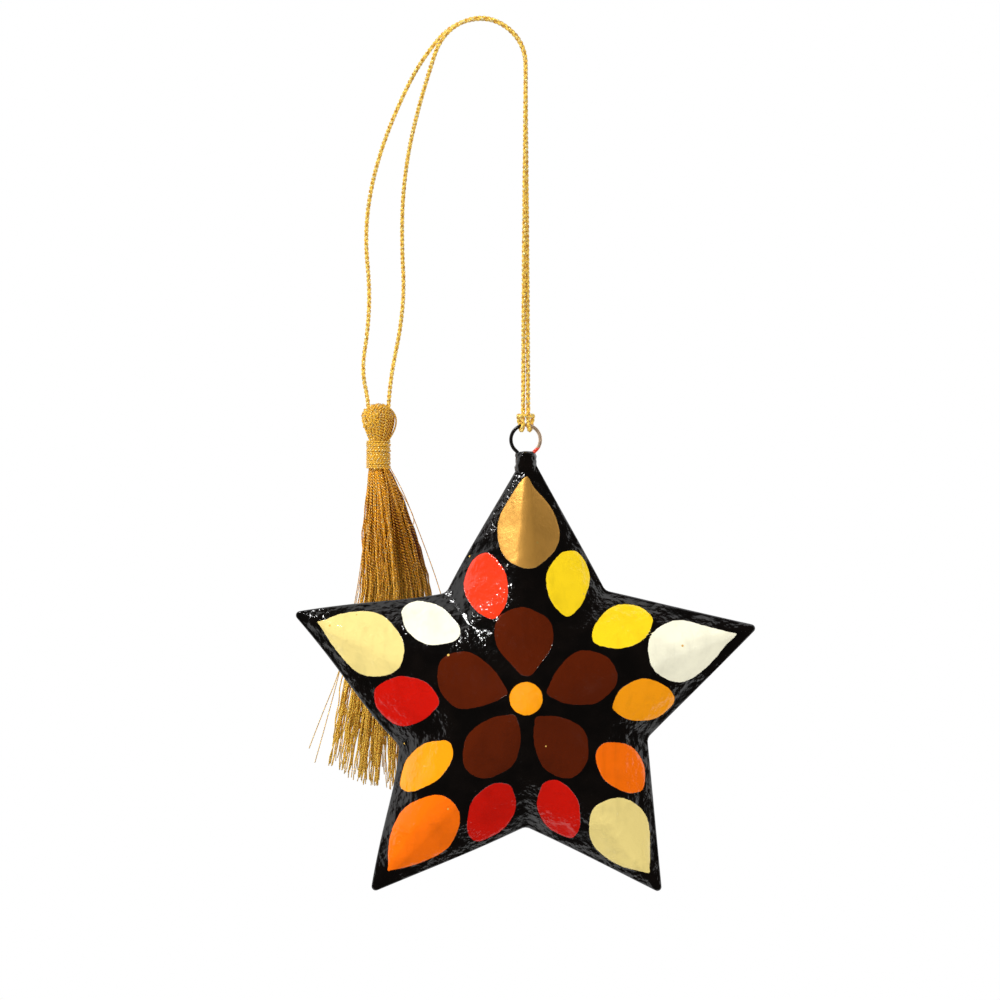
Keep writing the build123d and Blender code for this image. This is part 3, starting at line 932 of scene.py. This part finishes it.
def metallic_yarn_group():
    """Fine metal foil wound round a core: bright gold on the turns with deep gold painted in the grooves
    between them as painted shade, and pale painted glints as painted highlight; no two yarns quite alike.
    """
    inputs = [
        ("Turns", "NodeSocketFloat", 1.5),
        ("Light", "NodeSocketColor", (1.0, 0.62, 0.09, 1)),
        ("Deep", "NodeSocketColor", (0.36, 0.15, 0.01, 1)),
    ]
    outputs = [
        ("Colour", "NodeSocketColor"),
        ("Painted_glint", "NodeSocketFloat"),
        ("Roughness", "NodeSocketFloat"),
        ("Height", "NodeSocketFloat"),
    ]
    group, given, result = new_group("metallic_yarn", inputs, outputs)
    lay = put(group, "ShaderNodeUVMap", uv_map="lay").outputs["UV"]
    axes = put(group, "ShaderNodeSeparateXYZ", {"Vector": lay}).outputs
    place = own_place(group)
    winding = maths(group, "MULTIPLY_ADD", axes["Y"], given["Turns"], axes["X"])
    wave = maths(group, "SINE", maths(group, "MULTIPLY", winding, 2 * math.pi))
    wave = maths(group, "MULTIPLY_ADD", wave, 0.5, 0.5)
    tone = kept_on_points(group, "tone")["Fac"]
    glints = marks(group, place, GLINTS, 2.0)
    patches = marks(group, place, WORN_PATCHES, 3.0)
    # Painted shade: deep gold painted in the grooves between the foil's turns.
    painted_groove_shade = maths(group, "MULTIPLY", ramp(group, wave, *WINDING[:2]), WINDING[2])
    wear_and_painted_light = maths(group, "MULTIPLY", maths(group, "SUBTRACT", patches, glints), WORN_SHARE)
    bright = maths(group, "MULTIPLY", maths(group, "SUBTRACT", tone, TONE_MIDDLE), TONE_SHARE)
    share = maths(group, "ADD", maths(group, "ADD", painted_groove_shade, wear_and_painted_light), bright, clamp=True)
    colour = mix(group, share, given["Deep"], given["Light"])
    # Painted highlight: pale gold glints painted into the colour on bright turns, fewer on deeper-toned
    # yarns.
    glinting = ramp(group, glints, *PAINTED_GLINT_SPOTS)
    painted_glint = maths(group, "MULTIPLY", glinting, ramp(group, wave, *PAINTED_GLINT_TURNS))
    painted_glint = maths(group, "MULTIPLY", painted_glint, tone, clamp=True)
    foil = {
        "Colour": mix(group, painted_glint, colour, PAINTED_GLINT),
        "Painted_glint": painted_glint,
        "Roughness": maths(group, "MULTIPLY_ADD", glints, YARN_GLOSS[1], YARN_GLOSS[0]),
        "Height": maths(group, "MULTIPLY_ADD", glints, GLINT_HEIGHT, wave),
    }
    fill(group, result, foil)
    return group


metallic_yarn = metallic_yarn_group()


def gold_yarn(name, turns, light, deep, metal, painted_light_end=None):
    """A metallic yarn's material. A pale end is painted light: the threads are painted paler towards their
    cut ends, by the heights where it begins and is full, its share and its colour."""
    material, tree, shader = new_material(name)
    yarn = use_group(tree, metallic_yarn, {"Turns": turns, "Light": light, "Deep": deep})
    colour = yarn["Colour"]
    if painted_light_end:
        pale_from, pale_to, painted_light_share, painted_light_gold = painted_light_end
        height = put(tree, "ShaderNodeSeparateXYZ", {"Vector": own_place(tree)}).outputs["Z"]
        # Painted light: paler gold towards the cut ends.
        wear_and_painted_light = maths(tree, "MULTIPLY", ramp(tree, height, pale_from * MM, pale_to * MM), painted_light_share)
        colour = mix(tree, wear_and_painted_light, colour, painted_light_gold)
    finish = {
        "Base Color": colour,
        "Metallic": maths(tree, "MULTIPLY_ADD", yarn["Painted_glint"], PAINTED_GLINT_METAL, metal),
        "Roughness": yarn["Roughness"],
        "Normal": relief(tree, yarn["Height"], 1.0, FOIL_RELIEF),
        "Specular IOR Level": YARN_SHEEN,
    }
    fill(tree, shader, finish)
    return material


cord_gold = gold_yarn("cord_gold", 1.3, (1.0, 0.66, 0.11, 1), (0.34, 0.06, 0.0006, 1), 0.08)
hitch = twisted_cord("cow_hitch_cord", hitch_route())[0]
hitch.data.materials.append(cord_gold)
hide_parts("cow_hitch")
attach(hitch, "hitch")


def end_knot():
    """The overhand knot of the cord's two ends, drawn tight in the middle of the tassel's head."""
    turn = np.linspace(0, 2 * math.pi, KNOT_STEPS)
    x = TASSEL_X + KNOT_SIZE * np.sin(3 * turn) * KNOT_STRETCH
    y = TASSEL_Y + KNOT_SIZE * (np.sin(turn) + 2 * np.sin(2 * turn))
    z = PIVOT_Z + KNOT_SIZE * (np.cos(turn) - 2 * np.cos(2 * turn))
    batch = new_batch()
    add_tube(batch, np.stack([x, y, z], axis=1), turn, KNOT_YARN, PLY_SIDES, PLY_TONES[0])
    return yarn_piece("end_knot_cord", batch)


knot = end_knot()
knot.data.materials.append(cord_gold)
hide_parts("end_knot")
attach(knot, "cord")

for run_name, run_sign, run_points, run_nodes, run_pieces in (
    ("cord_left_run", -1, LEFT_POINTS, ("tassel_strand_left", "star_strand_back"), [hitch, knot]),
    ("cord_right_run", 1, RIGHT_POINTS, ("tassel_strand_right", "star_strand_front"), []),
):
    run, run_line, run_length = twisted_cord(run_name, cord_run(run_sign, run_points))
    run.data.materials.append(cord_gold)
    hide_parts(*run_nodes)
    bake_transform(run)

# Tassel head
# A hank of gold threads folded over the cord's knot and drawn in below it. The threads run up the front,
# over the top and down the back, and part where the cord's two legs come out. Some are drawn across the rest,
# some lie crumpled on the left, and one has slipped out in a loose loop.
HEAD_TOP = -63.07
HEAD_RADIUS = 2.875
HEAD_BELLY = HEAD_TOP - HEAD_RADIUS
HEAD_FOOT = -69.81
NECK_RADIUS = 1.7
NECK_FOOT = -75.0
HEAD_THREADS = 28
HEAD_LAYERS = 2
HEAD_THREAD = 0.15
HEAD_SIDES = 6
HEAD_SEED = 5
HEAD_ROUND = 0.985
HEAD_LAYER_STEP = 0.2
HEAD_SUNK = 0.4
HEAD_SWAY = 0.06
HEAD_TONES = (0.4, 1.05)
HEAD_PAINTED_SHADE = 0.45
HEAD_STEPS_BELOW = 18
HEAD_STEPS_OVER = 22
SLOT_HALF = 0.56
SLOT_FRONT = -16
SLOT_BACK = 78
FOLD_THREADS = 10
FOLD_STEP = 0.24
FOLD_SWAY = (4, 0.07)
FOLD_PROUD = (-0.12, 0.06)
FOLD_TONES = (0.1, 0.9)
FOLD_STRIDE = 0.2
# Places on the head: degrees from its front to the right, height over its belly, then spread or how far proud
FOLD_ROUTE = (
    (-84, 0.9, 0.4),
    (-58, 1.7, 0.6),
    (-18, 2.45, 1.0),
    (28, 2.4, 1.0),
    (72, 1.7, 0.9),
    (118, 0.7, 0.7),
)
LOOSE_LOOP = (
    (30, 2.5, 0.0),
    (62, 1.7, 0.15),
    (86, 0.2, 0.28),
    (90, -1.4, 0.3),
    (84, -3.0, 0.12),
    (70, -3.9, 0.0),
)
LOOSE_TONE = 0.8
CRUMPLED_THREADS = 12
CRUMPLED_STEPS = 11
CRUMPLED_START = (-72, 1.5)
CRUMPLED_STEP = (6.5, 0.3)
CRUMPLED_SWAY = (13, 0.2)
CRUMPLED_PROUD = (-0.25, 0.16)
# The crumpled threads' tones run past full bright: a painted highlight on the crinkled foil.
CRUMPLED_PAINTED_LIGHT_TONES = (0.8, 1.5)
CORE_HALF = (1.15, 2.3, 2.3)
CORE_COLUMNS = 32
CORE_RIPPLES = 9
CORE_RIPPLE = 0.06
CORE_INSET = 0.45
PACKED_THREADS = 3200.0
# Painted shade: the packed threads are coloured darker than the gold yarn.
PACKED_DEEP = (0.12, 0.06, 0.01, 1)
PACKED_LIGHT = (0.5, 0.3, 0.06, 1)


def head_reach(height):
    """The head's radius at a height below its belly."""
    if height < HEAD_FOOT:
        return NECK_RADIUS
    share = (HEAD_BELLY - height) / (HEAD_BELLY - HEAD_FOOT)
    return NECK_RADIUS + (HEAD_RADIUS - NECK_RADIUS) * math.cos(share * math.pi / 2)


def head_thread(across, inset, start, stop):
    """A thread over the head from one angle to another: 0 is the top, minus the front, plus the back."""
    radius = HEAD_RADIUS - inset
    x = across * radius
    over = math.sqrt(max(radius * radius - x * x, 0.01))
    below = np.linspace(NECK_FOOT, HEAD_BELLY, HEAD_STEPS_BELOW)[:-1]

    def hanging(height, side):
        reach = head_reach(height) - inset
        y = TASSEL_Y + side * math.sqrt(1 - across**2) * reach
        return (TASSEL_X + across * reach, y, height)

    places = []
    if start <= -90:
        places.extend(hanging(height, -1) for height in below)
    for angle in np.linspace(max(start, -90), min(stop, 90), HEAD_STEPS_OVER):
        lean = math.radians(angle)
        places.append((TASSEL_X + x, TASSEL_Y + over * math.sin(lean), HEAD_BELLY + over * math.cos(lean)))
    if stop >= 90:
        places.extend(hanging(height, 1) for height in below[::-1])
    return np.array(places)


def over_head(turn, height, out):
    """A place on the head: degrees from its front to the right, height over its belly, and how far proud."""
    reach = head_reach(HEAD_BELLY + height)
    if height > 0:
        reach = math.sqrt(max(HEAD_RADIUS**2 - height**2, 0.04))
    grow = 1 + out / HEAD_RADIUS
    turn = math.radians(turn)
    x = TASSEL_X + reach * grow * math.sin(turn)
    y = TASSEL_Y - reach * grow * math.cos(turn)
    return (x, y, HEAD_BELLY + height * grow)


def head_folds(hand):
    """Threads that cross the head, with their tones: folds, crumpled ones painted brighter as painted
    highlight, and a loose loop.
    """
    folds = []
    for number in range(FOLD_THREADS):
        route = []
        for turn, height, spread in FOLD_ROUTE:
            lower = height - FOLD_STEP * number * spread + hand.uniform(-FOLD_SWAY[1], FOLD_SWAY[1])
            turn = turn + hand.uniform(-FOLD_SWAY[0], FOLD_SWAY[0])
            route.append(over_head(turn, lower, hand.uniform(*FOLD_PROUD)))
        folds.append((route, hand.uniform(*FOLD_TONES)))
    for number in range(CRUMPLED_THREADS):
        route = []
        for step in range(CRUMPLED_STEPS):
            sway = hand.uniform(-CRUMPLED_SWAY[0], CRUMPLED_SWAY[0])
            turn = CRUMPLED_START[0] + CRUMPLED_STEP[0] * number + sway
            sway = hand.uniform(-CRUMPLED_SWAY[1], CRUMPLED_SWAY[1])
            height = CRUMPLED_START[1] - CRUMPLED_STEP[1] * step + sway
            route.append(over_head(turn, height, hand.uniform(*CRUMPLED_PROUD)))
        folds.append((route, hand.uniform(*CRUMPLED_PAINTED_LIGHT_TONES)))
    folds.append(([over_head(*place) for place in LOOSE_LOOP], LOOSE_TONE))
    return folds


def tassel_head():
    """The threads over the head, painted brighter on the left and darker on the right as painted shade, with
    those that cross them.
    """
    hand = random.Random(HEAD_SEED)
    batch = new_batch()
    for layer in range(HEAD_LAYERS):
        for number in range(HEAD_THREADS):
            share = (number + 0.5 * layer + 0.5) / (HEAD_THREADS + 0.5 * HEAD_LAYERS)
            across = math.sin((share - 0.5) * math.pi * HEAD_ROUND)
            inset = HEAD_THREAD + HEAD_LAYER_STEP * layer + hand.uniform(0, HEAD_SUNK)
            off_leg = abs(abs(across) * (HEAD_RADIUS - inset) - LEG_OFFSET)
            spans = [(-90, 90)]
            if off_leg < SLOT_HALF + HEAD_THREAD:
                spans = [(-90, SLOT_FRONT), (SLOT_BACK, 90)]
            for start, stop in spans:
                places = head_thread(across, inset, start, stop)
                sway = np.array([hand.uniform(-HEAD_SWAY, HEAD_SWAY) for _ in range(3)])
                ease = np.sin(np.linspace(0, math.pi, len(places)))[:, None]
                # Painted shade: threads further to the right get a darker tone.
                tone = hand.uniform(*HEAD_TONES) - HEAD_PAINTED_SHADE * across
                add_tube(batch, places + ease * sway, gone_along(places), HEAD_THREAD, HEAD_SIDES, tone)
    for route, tone in head_folds(hand):
        places, along = even_steps(smooth_line(route), FOLD_STRIDE)
        add_tube(batch, places, along, HEAD_THREAD, HEAD_SIDES, tone)
    return yarn_piece("tassel_head_threads", batch)


def head_core():
    """The inner folds of the hank, between the two legs and down into the neck."""
    middle = (TASSEL_X, TASSEL_Y)
    turn = np.arange(CORE_COLUMNS) / CORE_COLUMNS * 2 * math.pi
    ripple = 1 + CORE_RIPPLE * np.cos(turn * CORE_RIPPLES)
    rings = []
    for lean in np.linspace(0.15, math.pi / 2, 9):
        size = math.sin(lean) * ripple
        height = HEAD_BELLY + CORE_HALF[2] * math.cos(lean)
        rings.append(level_ring(turn, middle, CORE_HALF[0] * size, CORE_HALF[1] * size, height))
    for height in np.linspace(HEAD_BELLY - 0.4, NECK_FOOT, 14):
        reach = (head_reach(height) - CORE_INSET) * ripple
        side = min(1.0, 0.6 + 0.4 * (HEAD_BELLY - height) / 2.5)
        rings.append(level_ring(turn, middle, reach * side, reach, height))
    top = [(*middle, HEAD_BELLY + CORE_HALF[2])]
    foot = [(*middle, NECK_FOOT - 0.1)]
    places = np.concatenate([top, *rings, foot])
    return new_piece("tassel_head_core", places, rings_to_faces(len(rings), CORE_COLUMNS))


def packed_threads():
    """Threads pressed side by side in the head, coloured a darker gold than the yarn as painted shade."""
    material, tree, shader = new_material("packed_threads")
    threads = marks(tree, drawn_out(tree, own_place(tree), 0.0, 0.1), PACKED_THREADS, 2.0)
    finish = {
        "Base Color": mix(tree, threads, PACKED_DEEP, PACKED_LIGHT),
        "Metallic": 0.7,
        "Roughness": 0.45,
        "Normal": relief(tree, threads, 0.8, 0.0002),
    }
    fill(tree, shader, finish)
    return material


thread_gold = gold_yarn("thread_gold", 1.9, (1.0, 0.56, 0.055, 1), (0.3, 0.05, 0.0006, 1), 0.06)
head = tassel_head()
head.data.materials.append(thread_gold)
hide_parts("tassel_head")
core = head_core()
core.data.materials.append(packed_threads())
for piece in (head, core):
    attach(piece, "tassel")

# Neck binding
# One gold thread wound tightly round the neck below the head, its turns lying side by side, a little uneven.
# It holds the folded hank shut, and the skirt starts under its last turn.
BIND_TURNS = 15
BIND_THREAD = 0.175
BIND_SIDES = 8
BIND_TOP = -69.75
BIND_FOOT = -74.45
BIND_STEPS = 28
BIND_SLACK = 0.09
BIND_LIFT = 0.16
BIND_SEED = 8
BIND_TONE = 0.8


def neck_binding():
    """One thread in close turns, some a little slack or proud."""
    hand = random.Random(BIND_SEED)
    count = BIND_TURNS * BIND_STEPS
    slack = [hand.uniform(-BIND_SLACK, BIND_SLACK) for _ in range(BIND_TURNS + 2)]
    lift = [hand.uniform(0, BIND_LIFT) for _ in range(BIND_TURNS + 2)]
    places = []
    for step in range(count + 1):
        gone = step / BIND_STEPS
        whole = int(gone)
        part = gone - whole
        sway = slack[whole] + (slack[whole + 1] - slack[whole]) * part
        high = lift[whole] + (lift[whole + 1] - lift[whole]) * part
        radius = NECK_RADIUS + BIND_THREAD + high
        turn = gone * 2 * math.pi
        height = BIND_TOP + (BIND_FOOT - BIND_TOP) * step / count + sway
        places.append((TASSEL_X + radius * math.cos(turn), TASSEL_Y + radius * math.sin(turn), height))
    places = np.array(places)
    batch = new_batch()
    add_tube(batch, places, gone_along(places), BIND_THREAD, BIND_SIDES, BIND_TONE)
    return yarn_piece("neck_binding_thread", batch)


bound = neck_binding()
bound.data.materials.append(thread_gold)
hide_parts("neck_binding")
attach(bound, "tassel")

# Tassel skirt
# Several hundred loose gold threads, crinkled from the spool, that flare out below the binding
# and end ragged where they were cut. A few fine ones stray from the rest.
SKIRT_TOP = -74.3
SKIRT_LENGTH = 55.3
SKIRT_RAGGED = 10.0
RAGGED_POWER = 1.6
EDGE_RISE = 4.5
SKIRT_THREADS = 430
SKIRT_THREAD = 0.155
SKIRT_THREAD_END = 0.085
SKIRT_SIDES = 5
SKIRT_SEED = 21
SKIRT_STEPS = 34
TOP_HALF = 1.52
FLARE_POWER = 0.75
MID_DROP = 20.9
MID_SHIFT = 2.95
MID_HALF = (5.75, 4.2)
END_SHIFT = 2.2
END_HALF = (12.2, 6.2)
LOOSE_DROP = 12
CRIMP = (0.05, 0.13)
CRIMP_LENGTH = (3.2, 6.0)
BEND = (0.1, 0.5)
BEND_LENGTH = (24, 46)
CLUMP_CELL = 0.23
CLUMP_PULL = 0.32
# The right side hangs further back, from a share of the width on, over another share, and its threads are
# painted darker over their own share as painted shade
RIGHT_FROM = 0.1
RIGHT_SET_BACK = 3.2
SET_BACK_OVER = 0.5
RIGHT_PAINTED_SHADE = 0.4
PAINTED_SHADE_OVER = 0.4
# Inner threads, seen through gaps between the clumps, get a darker tone as painted shade.
INNER_PAINTED_SHADE = 1.2
TONE_SCALE = 3.3
SKIRT_TONE = 0.8
CLUMP_TONE = 1.1
TONE_SPREAD = 0.35
# Painted light: the threads are painted paler towards their cut ends, from the first height down to the
# second.
PAINTED_LIGHT_END = (-86.0, -109.0, 0.95, (1.0, 0.64, 0.1, 1))
STRAY_THREAD = 0.08
STRAY_TONE = 0.9
STRAY_STRIDE = 0.5
STRAY_ROUTES = (
    (
        (-15.9, 21.5, -73.6),
        (-14.9, 21.2, -75.2),
        (-12.9, 20.9, -79.0),
        (-11.1, 20.7, -83.6),
        (-9.4, 20.6, -88.0),
        (-6.9, 20.5, -94.9),
        (-5.4, 20.8, -100.5),
    ),
    (
        (-16.2, 20.6, -73.8),
        (-15.2, 20.0, -76.0),
        (-12.6, 19.8, -80.0),
        (-11.0, 19.8, -83.4),
        (-11.6, 19.9, -84.9),
        (-12.8, 20.2, -83.8),
    ),
    (
        (-16.6, 20.4, -73.8),
        (-15.4, 19.2, -76.6),
        (-14.6, 18.7, -79.6),
        (-13.7, 18.5, -82.6),
        (-12.8, 18.6, -81.6),
        (-13.0, 18.8, -80.0),
    ),
    (
        (-16.5, 20.3, -73.9),
        (-15.3, 18.6, -80.0),
        (-15.6, 17.8, -87.0),
        (-16.5, 17.5, -94.0),
        (-17.2, 17.4, -100.0),
        (-18.3, 17.3, -110.0),
    ),
    (
        (-18.6, 21.6, -73.9),
        (-19.1, 21.4, -80.0),
        (-20.4, 20.9, -94.0),
        (-23.4, 20.4, -108.0),
        (-27.5, 20.2, -118.0),
        (-29.3, 20.2, -122.8),
    ),
    (
        (-18.4, 22.4, -73.9),
        (-19.3, 22.5, -82.0),
        (-21.2, 22.3, -97.0),
        (-24.6, 22.0, -112.0),
        (-28.4, 22.0, -125.4),
    ),
)


def right_share(across, over):
    """How far a thread counts as on the right, from 0 to 1."""
    return min(max((across - RIGHT_FROM) / over, 0), 1)


def skirt_thread(number, hand):
    """One hanging thread: its line in millimetres, how far down each point lies, and its tone."""
    share = math.sqrt((number + 0.5) / SKIRT_THREADS)
    angle = 2 * math.pi * number * GOLDEN_SHARE
    across, back = share * math.cos(angle), share * math.sin(angle)
    length = SKIRT_LENGTH - SKIRT_RAGGED * hand.random() ** RAGGED_POWER - EDGE_RISE * across**2
    drops = np.linspace(0, length, SKIRT_STEPS)
    end_share = np.clip((drops - MID_DROP) / (SKIRT_LENGTH - MID_DROP), 0, 1)
    top_share = np.clip(drops / MID_DROP, 0, 1) ** FLARE_POWER
    half_x, half_y = (
        TOP_HALF + (mid - TOP_HALF) * top_share + (end - mid) * end_share
        for mid, end in zip(MID_HALF, END_HALF)
    )
    shift = MID_SHIFT * top_share + (END_SHIFT - MID_SHIFT) * end_share
    loose = np.clip(drops / LOOSE_DROP, 0, 1)
    crimp = hand.uniform(*CRIMP) * loose
    fine = 2 * math.pi * drops / hand.uniform(*CRIMP_LENGTH)
    bend = hand.uniform(*BEND) * loose
    broad = 2 * math.pi * drops / hand.uniform(*BEND_LENGTH)
    start, other, third = (hand.uniform(0, ANY_TURN) for _ in range(3))
    set_back = RIGHT_SET_BACK * right_share(across, SET_BACK_OVER) * top_share
    pull = CLUMP_PULL * np.clip(drops / MID_DROP, 0, 1)
    across = across + pull * (round(across / CLUMP_CELL) * CLUMP_CELL - across)
    back = back + pull * (round(back / CLUMP_CELL) * CLUMP_CELL - back)
    x = TASSEL_X + shift + half_x * across
    y = TASSEL_Y + half_y * back + set_back
    x = x + crimp * np.sin(fine + start) + bend * (np.sin(broad + other) - math.sin(other))
    y = y + crimp * np.cos(fine + third) + bend * (np.cos(broad + third) - math.cos(third))
    clump = noise.noise(Vector((across[-1] * TONE_SCALE, back[-1] * TONE_SCALE, TONE_SCALE)))
    tone = SKIRT_TONE + CLUMP_TONE * clump + hand.uniform(-TONE_SPREAD, TONE_SPREAD)
    # Painted shade: inner threads and those on the right get a darker tone.
    tone = tone - INNER_PAINTED_SHADE * (1 - share) - RIGHT_PAINTED_SHADE * right_share(across[-1], PAINTED_SHADE_OVER)
    return np.stack([x, y, SKIRT_TOP - drops], axis=1), drops, tone


def tassel_skirt():
    """All the hanging threads, each thinner towards its end."""
    hand = random.Random(SKIRT_SEED)
    batch = new_batch()
    for number in range(SKIRT_THREADS):
        places, drops, tone = skirt_thread(number, hand)
        radii = SKIRT_THREAD + (SKIRT_THREAD_END - SKIRT_THREAD) * drops / SKIRT_LENGTH
        add_tube(batch, places, drops, radii, SKIRT_SIDES, tone)
    return yarn_piece("tassel_skirt_threads", batch)


def stray_threads():
    """The fine threads that stand off the skirt."""
    batch = new_batch()
    for route in STRAY_ROUTES:
        places, along = even_steps(smooth_line(route), STRAY_STRIDE)
        add_tube(batch, places, along, STRAY_THREAD, SKIRT_SIDES, STRAY_TONE)
    return yarn_piece("stray_threads", batch)


skirt_gold = gold_yarn("skirt_gold", 1.9, (1.0, 0.45, 0.028, 1), (0.12, 0.012, 0.0002, 1), 0.08, PAINTED_LIGHT_END)
skirt = tassel_skirt()
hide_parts("tassel_skirt")
for piece in (skirt, stray_threads()):
    piece.data.materials.append(skirt_gold)
    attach(piece, "tassel")

# Studio
# A pale floor well below the hanging ornament, white behind and beside it and dim in front. A small lamp
# high on the left, a small one at the left, a large soft one in front and a soft one low on the right.
# The camera stands square to the star's face.
FLOOR_Z = -0.3
FLOOR_HALF = 3000
FLOOR_GREY = (0.2, 0.2, 0.2, 1)
FLOOR_ROUGH = 0.8
# The floor's own white: its share in the middle, what it gains outward, and where that begins and is full
FLOOR_WHITE = (0.8, 0.2)
FLOOR_FADE = (0.3, 0.9)
PURE_WHITE = (1, 1, 1, 1)
WHITE_WAY = (-0.12, 1.0, 0.05)
WHITE_FROM = -0.15
WHITE_FULL = 0.1
WHITE_SIDE = (1.7, 1.7, 1.7, 1)
DIM_SIDE = (0.05, 0.042, 0.036, 1)
LAMP_AIM = (0.0, 0.0, -0.1)
CAMERA_PLACE = (0.0036, -0.6, -0.08)
CAMERA_LENS = 129.6
CAMERA_SENSOR = 36
CAMERA_RANGE = (0.01, 20)


def white_to_camera(tree, shader_output, result, white, share, gloss_share):
    """White by a share to the camera, by another in gloss and glass, and the given shader otherwise."""
    rays = put(tree, "ShaderNodeLightPath").outputs
    mirrored = maths(tree, "MAXIMUM", rays["Is Glossy Ray"], rays["Is Transmission Ray"])
    seen = maths(tree, "MULTIPLY", rays["Is Camera Ray"], share)
    seen = maths(tree, "MAXIMUM", seen, maths(tree, "MULTIPLY", mirrored, gloss_share))
    blend = put(tree, "ShaderNodeMixShader", {0: seen, 1: shader_output, 2: white.outputs[0]})
    tree.links.new(blend.outputs[0], result)


floor_corners = [(x * FLOOR_HALF, y * FLOOR_HALF, 0) for x, y in ((-1, -1), (1, -1), (1, 1), (-1, 1))]
floor = new_piece("floor", floor_corners, [(0, 1, 2, 3)])
floor.location.z = FLOOR_Z
floor_paint, floor_tree, floor_shader = new_material("pale_floor")
fill(floor_tree, floor_shader, {"Base Color": FLOOR_GREY, "Roughness": FLOOR_ROUGH})
floor_place = own_place(floor_tree)
floor_reach = put(floor_tree, "ShaderNodeVectorMath", {0: floor_place}, operation="LENGTH").outputs["Value"]
floor_outward = ramp(floor_tree, floor_reach, *FLOOR_FADE)
floor_glow = maths(floor_tree, "MULTIPLY_ADD", floor_outward, FLOOR_WHITE[1], FLOOR_WHITE[0])
floor_white = put(floor_tree, "ShaderNodeEmission", {"Color": PURE_WHITE, "Strength": 1.0})
floor_result = floor_tree.nodes["Material Output"].inputs["Surface"]
white_to_camera(floor_tree, floor_shader.outputs[0], floor_result, floor_white, floor_glow, floor_glow)
floor.data.materials.append(floor_paint)
floor.visible_glossy = False

world = bpy.data.worlds.new("studio")
bpy.context.scene.world = world
world.use_nodes = True
world_tree = world.node_tree
way = put(world_tree, "ShaderNodeTexCoord").outputs["Generated"]
toward = put(world_tree, "ShaderNodeVectorMath", {0: way, 1: WHITE_WAY}, operation="DOT_PRODUCT")
lit = ramp(world_tree, toward.outputs["Value"], WHITE_FROM, WHITE_FULL)
surround = world_tree.nodes["Background"]
fill(world_tree, surround, {"Color": mix(world_tree, lit, DIM_SIDE, WHITE_SIDE), "Strength": 1.0})
world_white = put(world_tree, "ShaderNodeBackground", {"Color": PURE_WHITE, "Strength": 1.0})
world_result = world_tree.nodes["World Output"].inputs["Surface"]
white_to_camera(world_tree, surround.outputs[0], world_result, world_white, 1.0, lit)


def soft_lamp(name, place, size, power, in_gloss):
    """A round soft lamp that faces the ornament. Out of gloss, it leaves no bright spot on the lacquer."""
    lamp = bpy.data.lights.new(name, "AREA")
    lamp.shape = "DISK"
    lamp.size = size
    lamp.energy = power
    holder = bpy.data.objects.new(name, lamp)
    holder.location = place
    holder.rotation_euler = (Vector(LAMP_AIM) - Vector(place)).to_track_quat("-Z", "Y").to_euler()
    holder.visible_glossy = in_gloss
    bpy.context.scene.collection.objects.link(holder)


soft_lamp("key_lamp", (-0.4, -0.26, 0.4), 0.13, 2.25, True)
soft_lamp("side_lamp", (-0.52, -0.16, -0.06), 0.12, 0.95, False)
soft_lamp("front_lamp", (-0.12, -0.85, -0.05), 0.5, 3.35, False)
soft_lamp("fill_lamp", (0.5, -0.6, -0.16), 0.25, 2.2, False)

camera_data = bpy.data.cameras.new("camera")
camera_data.lens = CAMERA_LENS
camera_data.sensor_width = CAMERA_SENSOR
camera_data.clip_start, camera_data.clip_end = CAMERA_RANGE
camera = bpy.data.objects.new("camera", camera_data)
camera.location = CAMERA_PLACE
camera.rotation_euler = (math.pi / 2, 0, 0)
bpy.context.scene.collection.objects.link(camera)
bpy.context.scene.camera = camera
bpy.context.scene.view_settings.view_transform = "Standard"
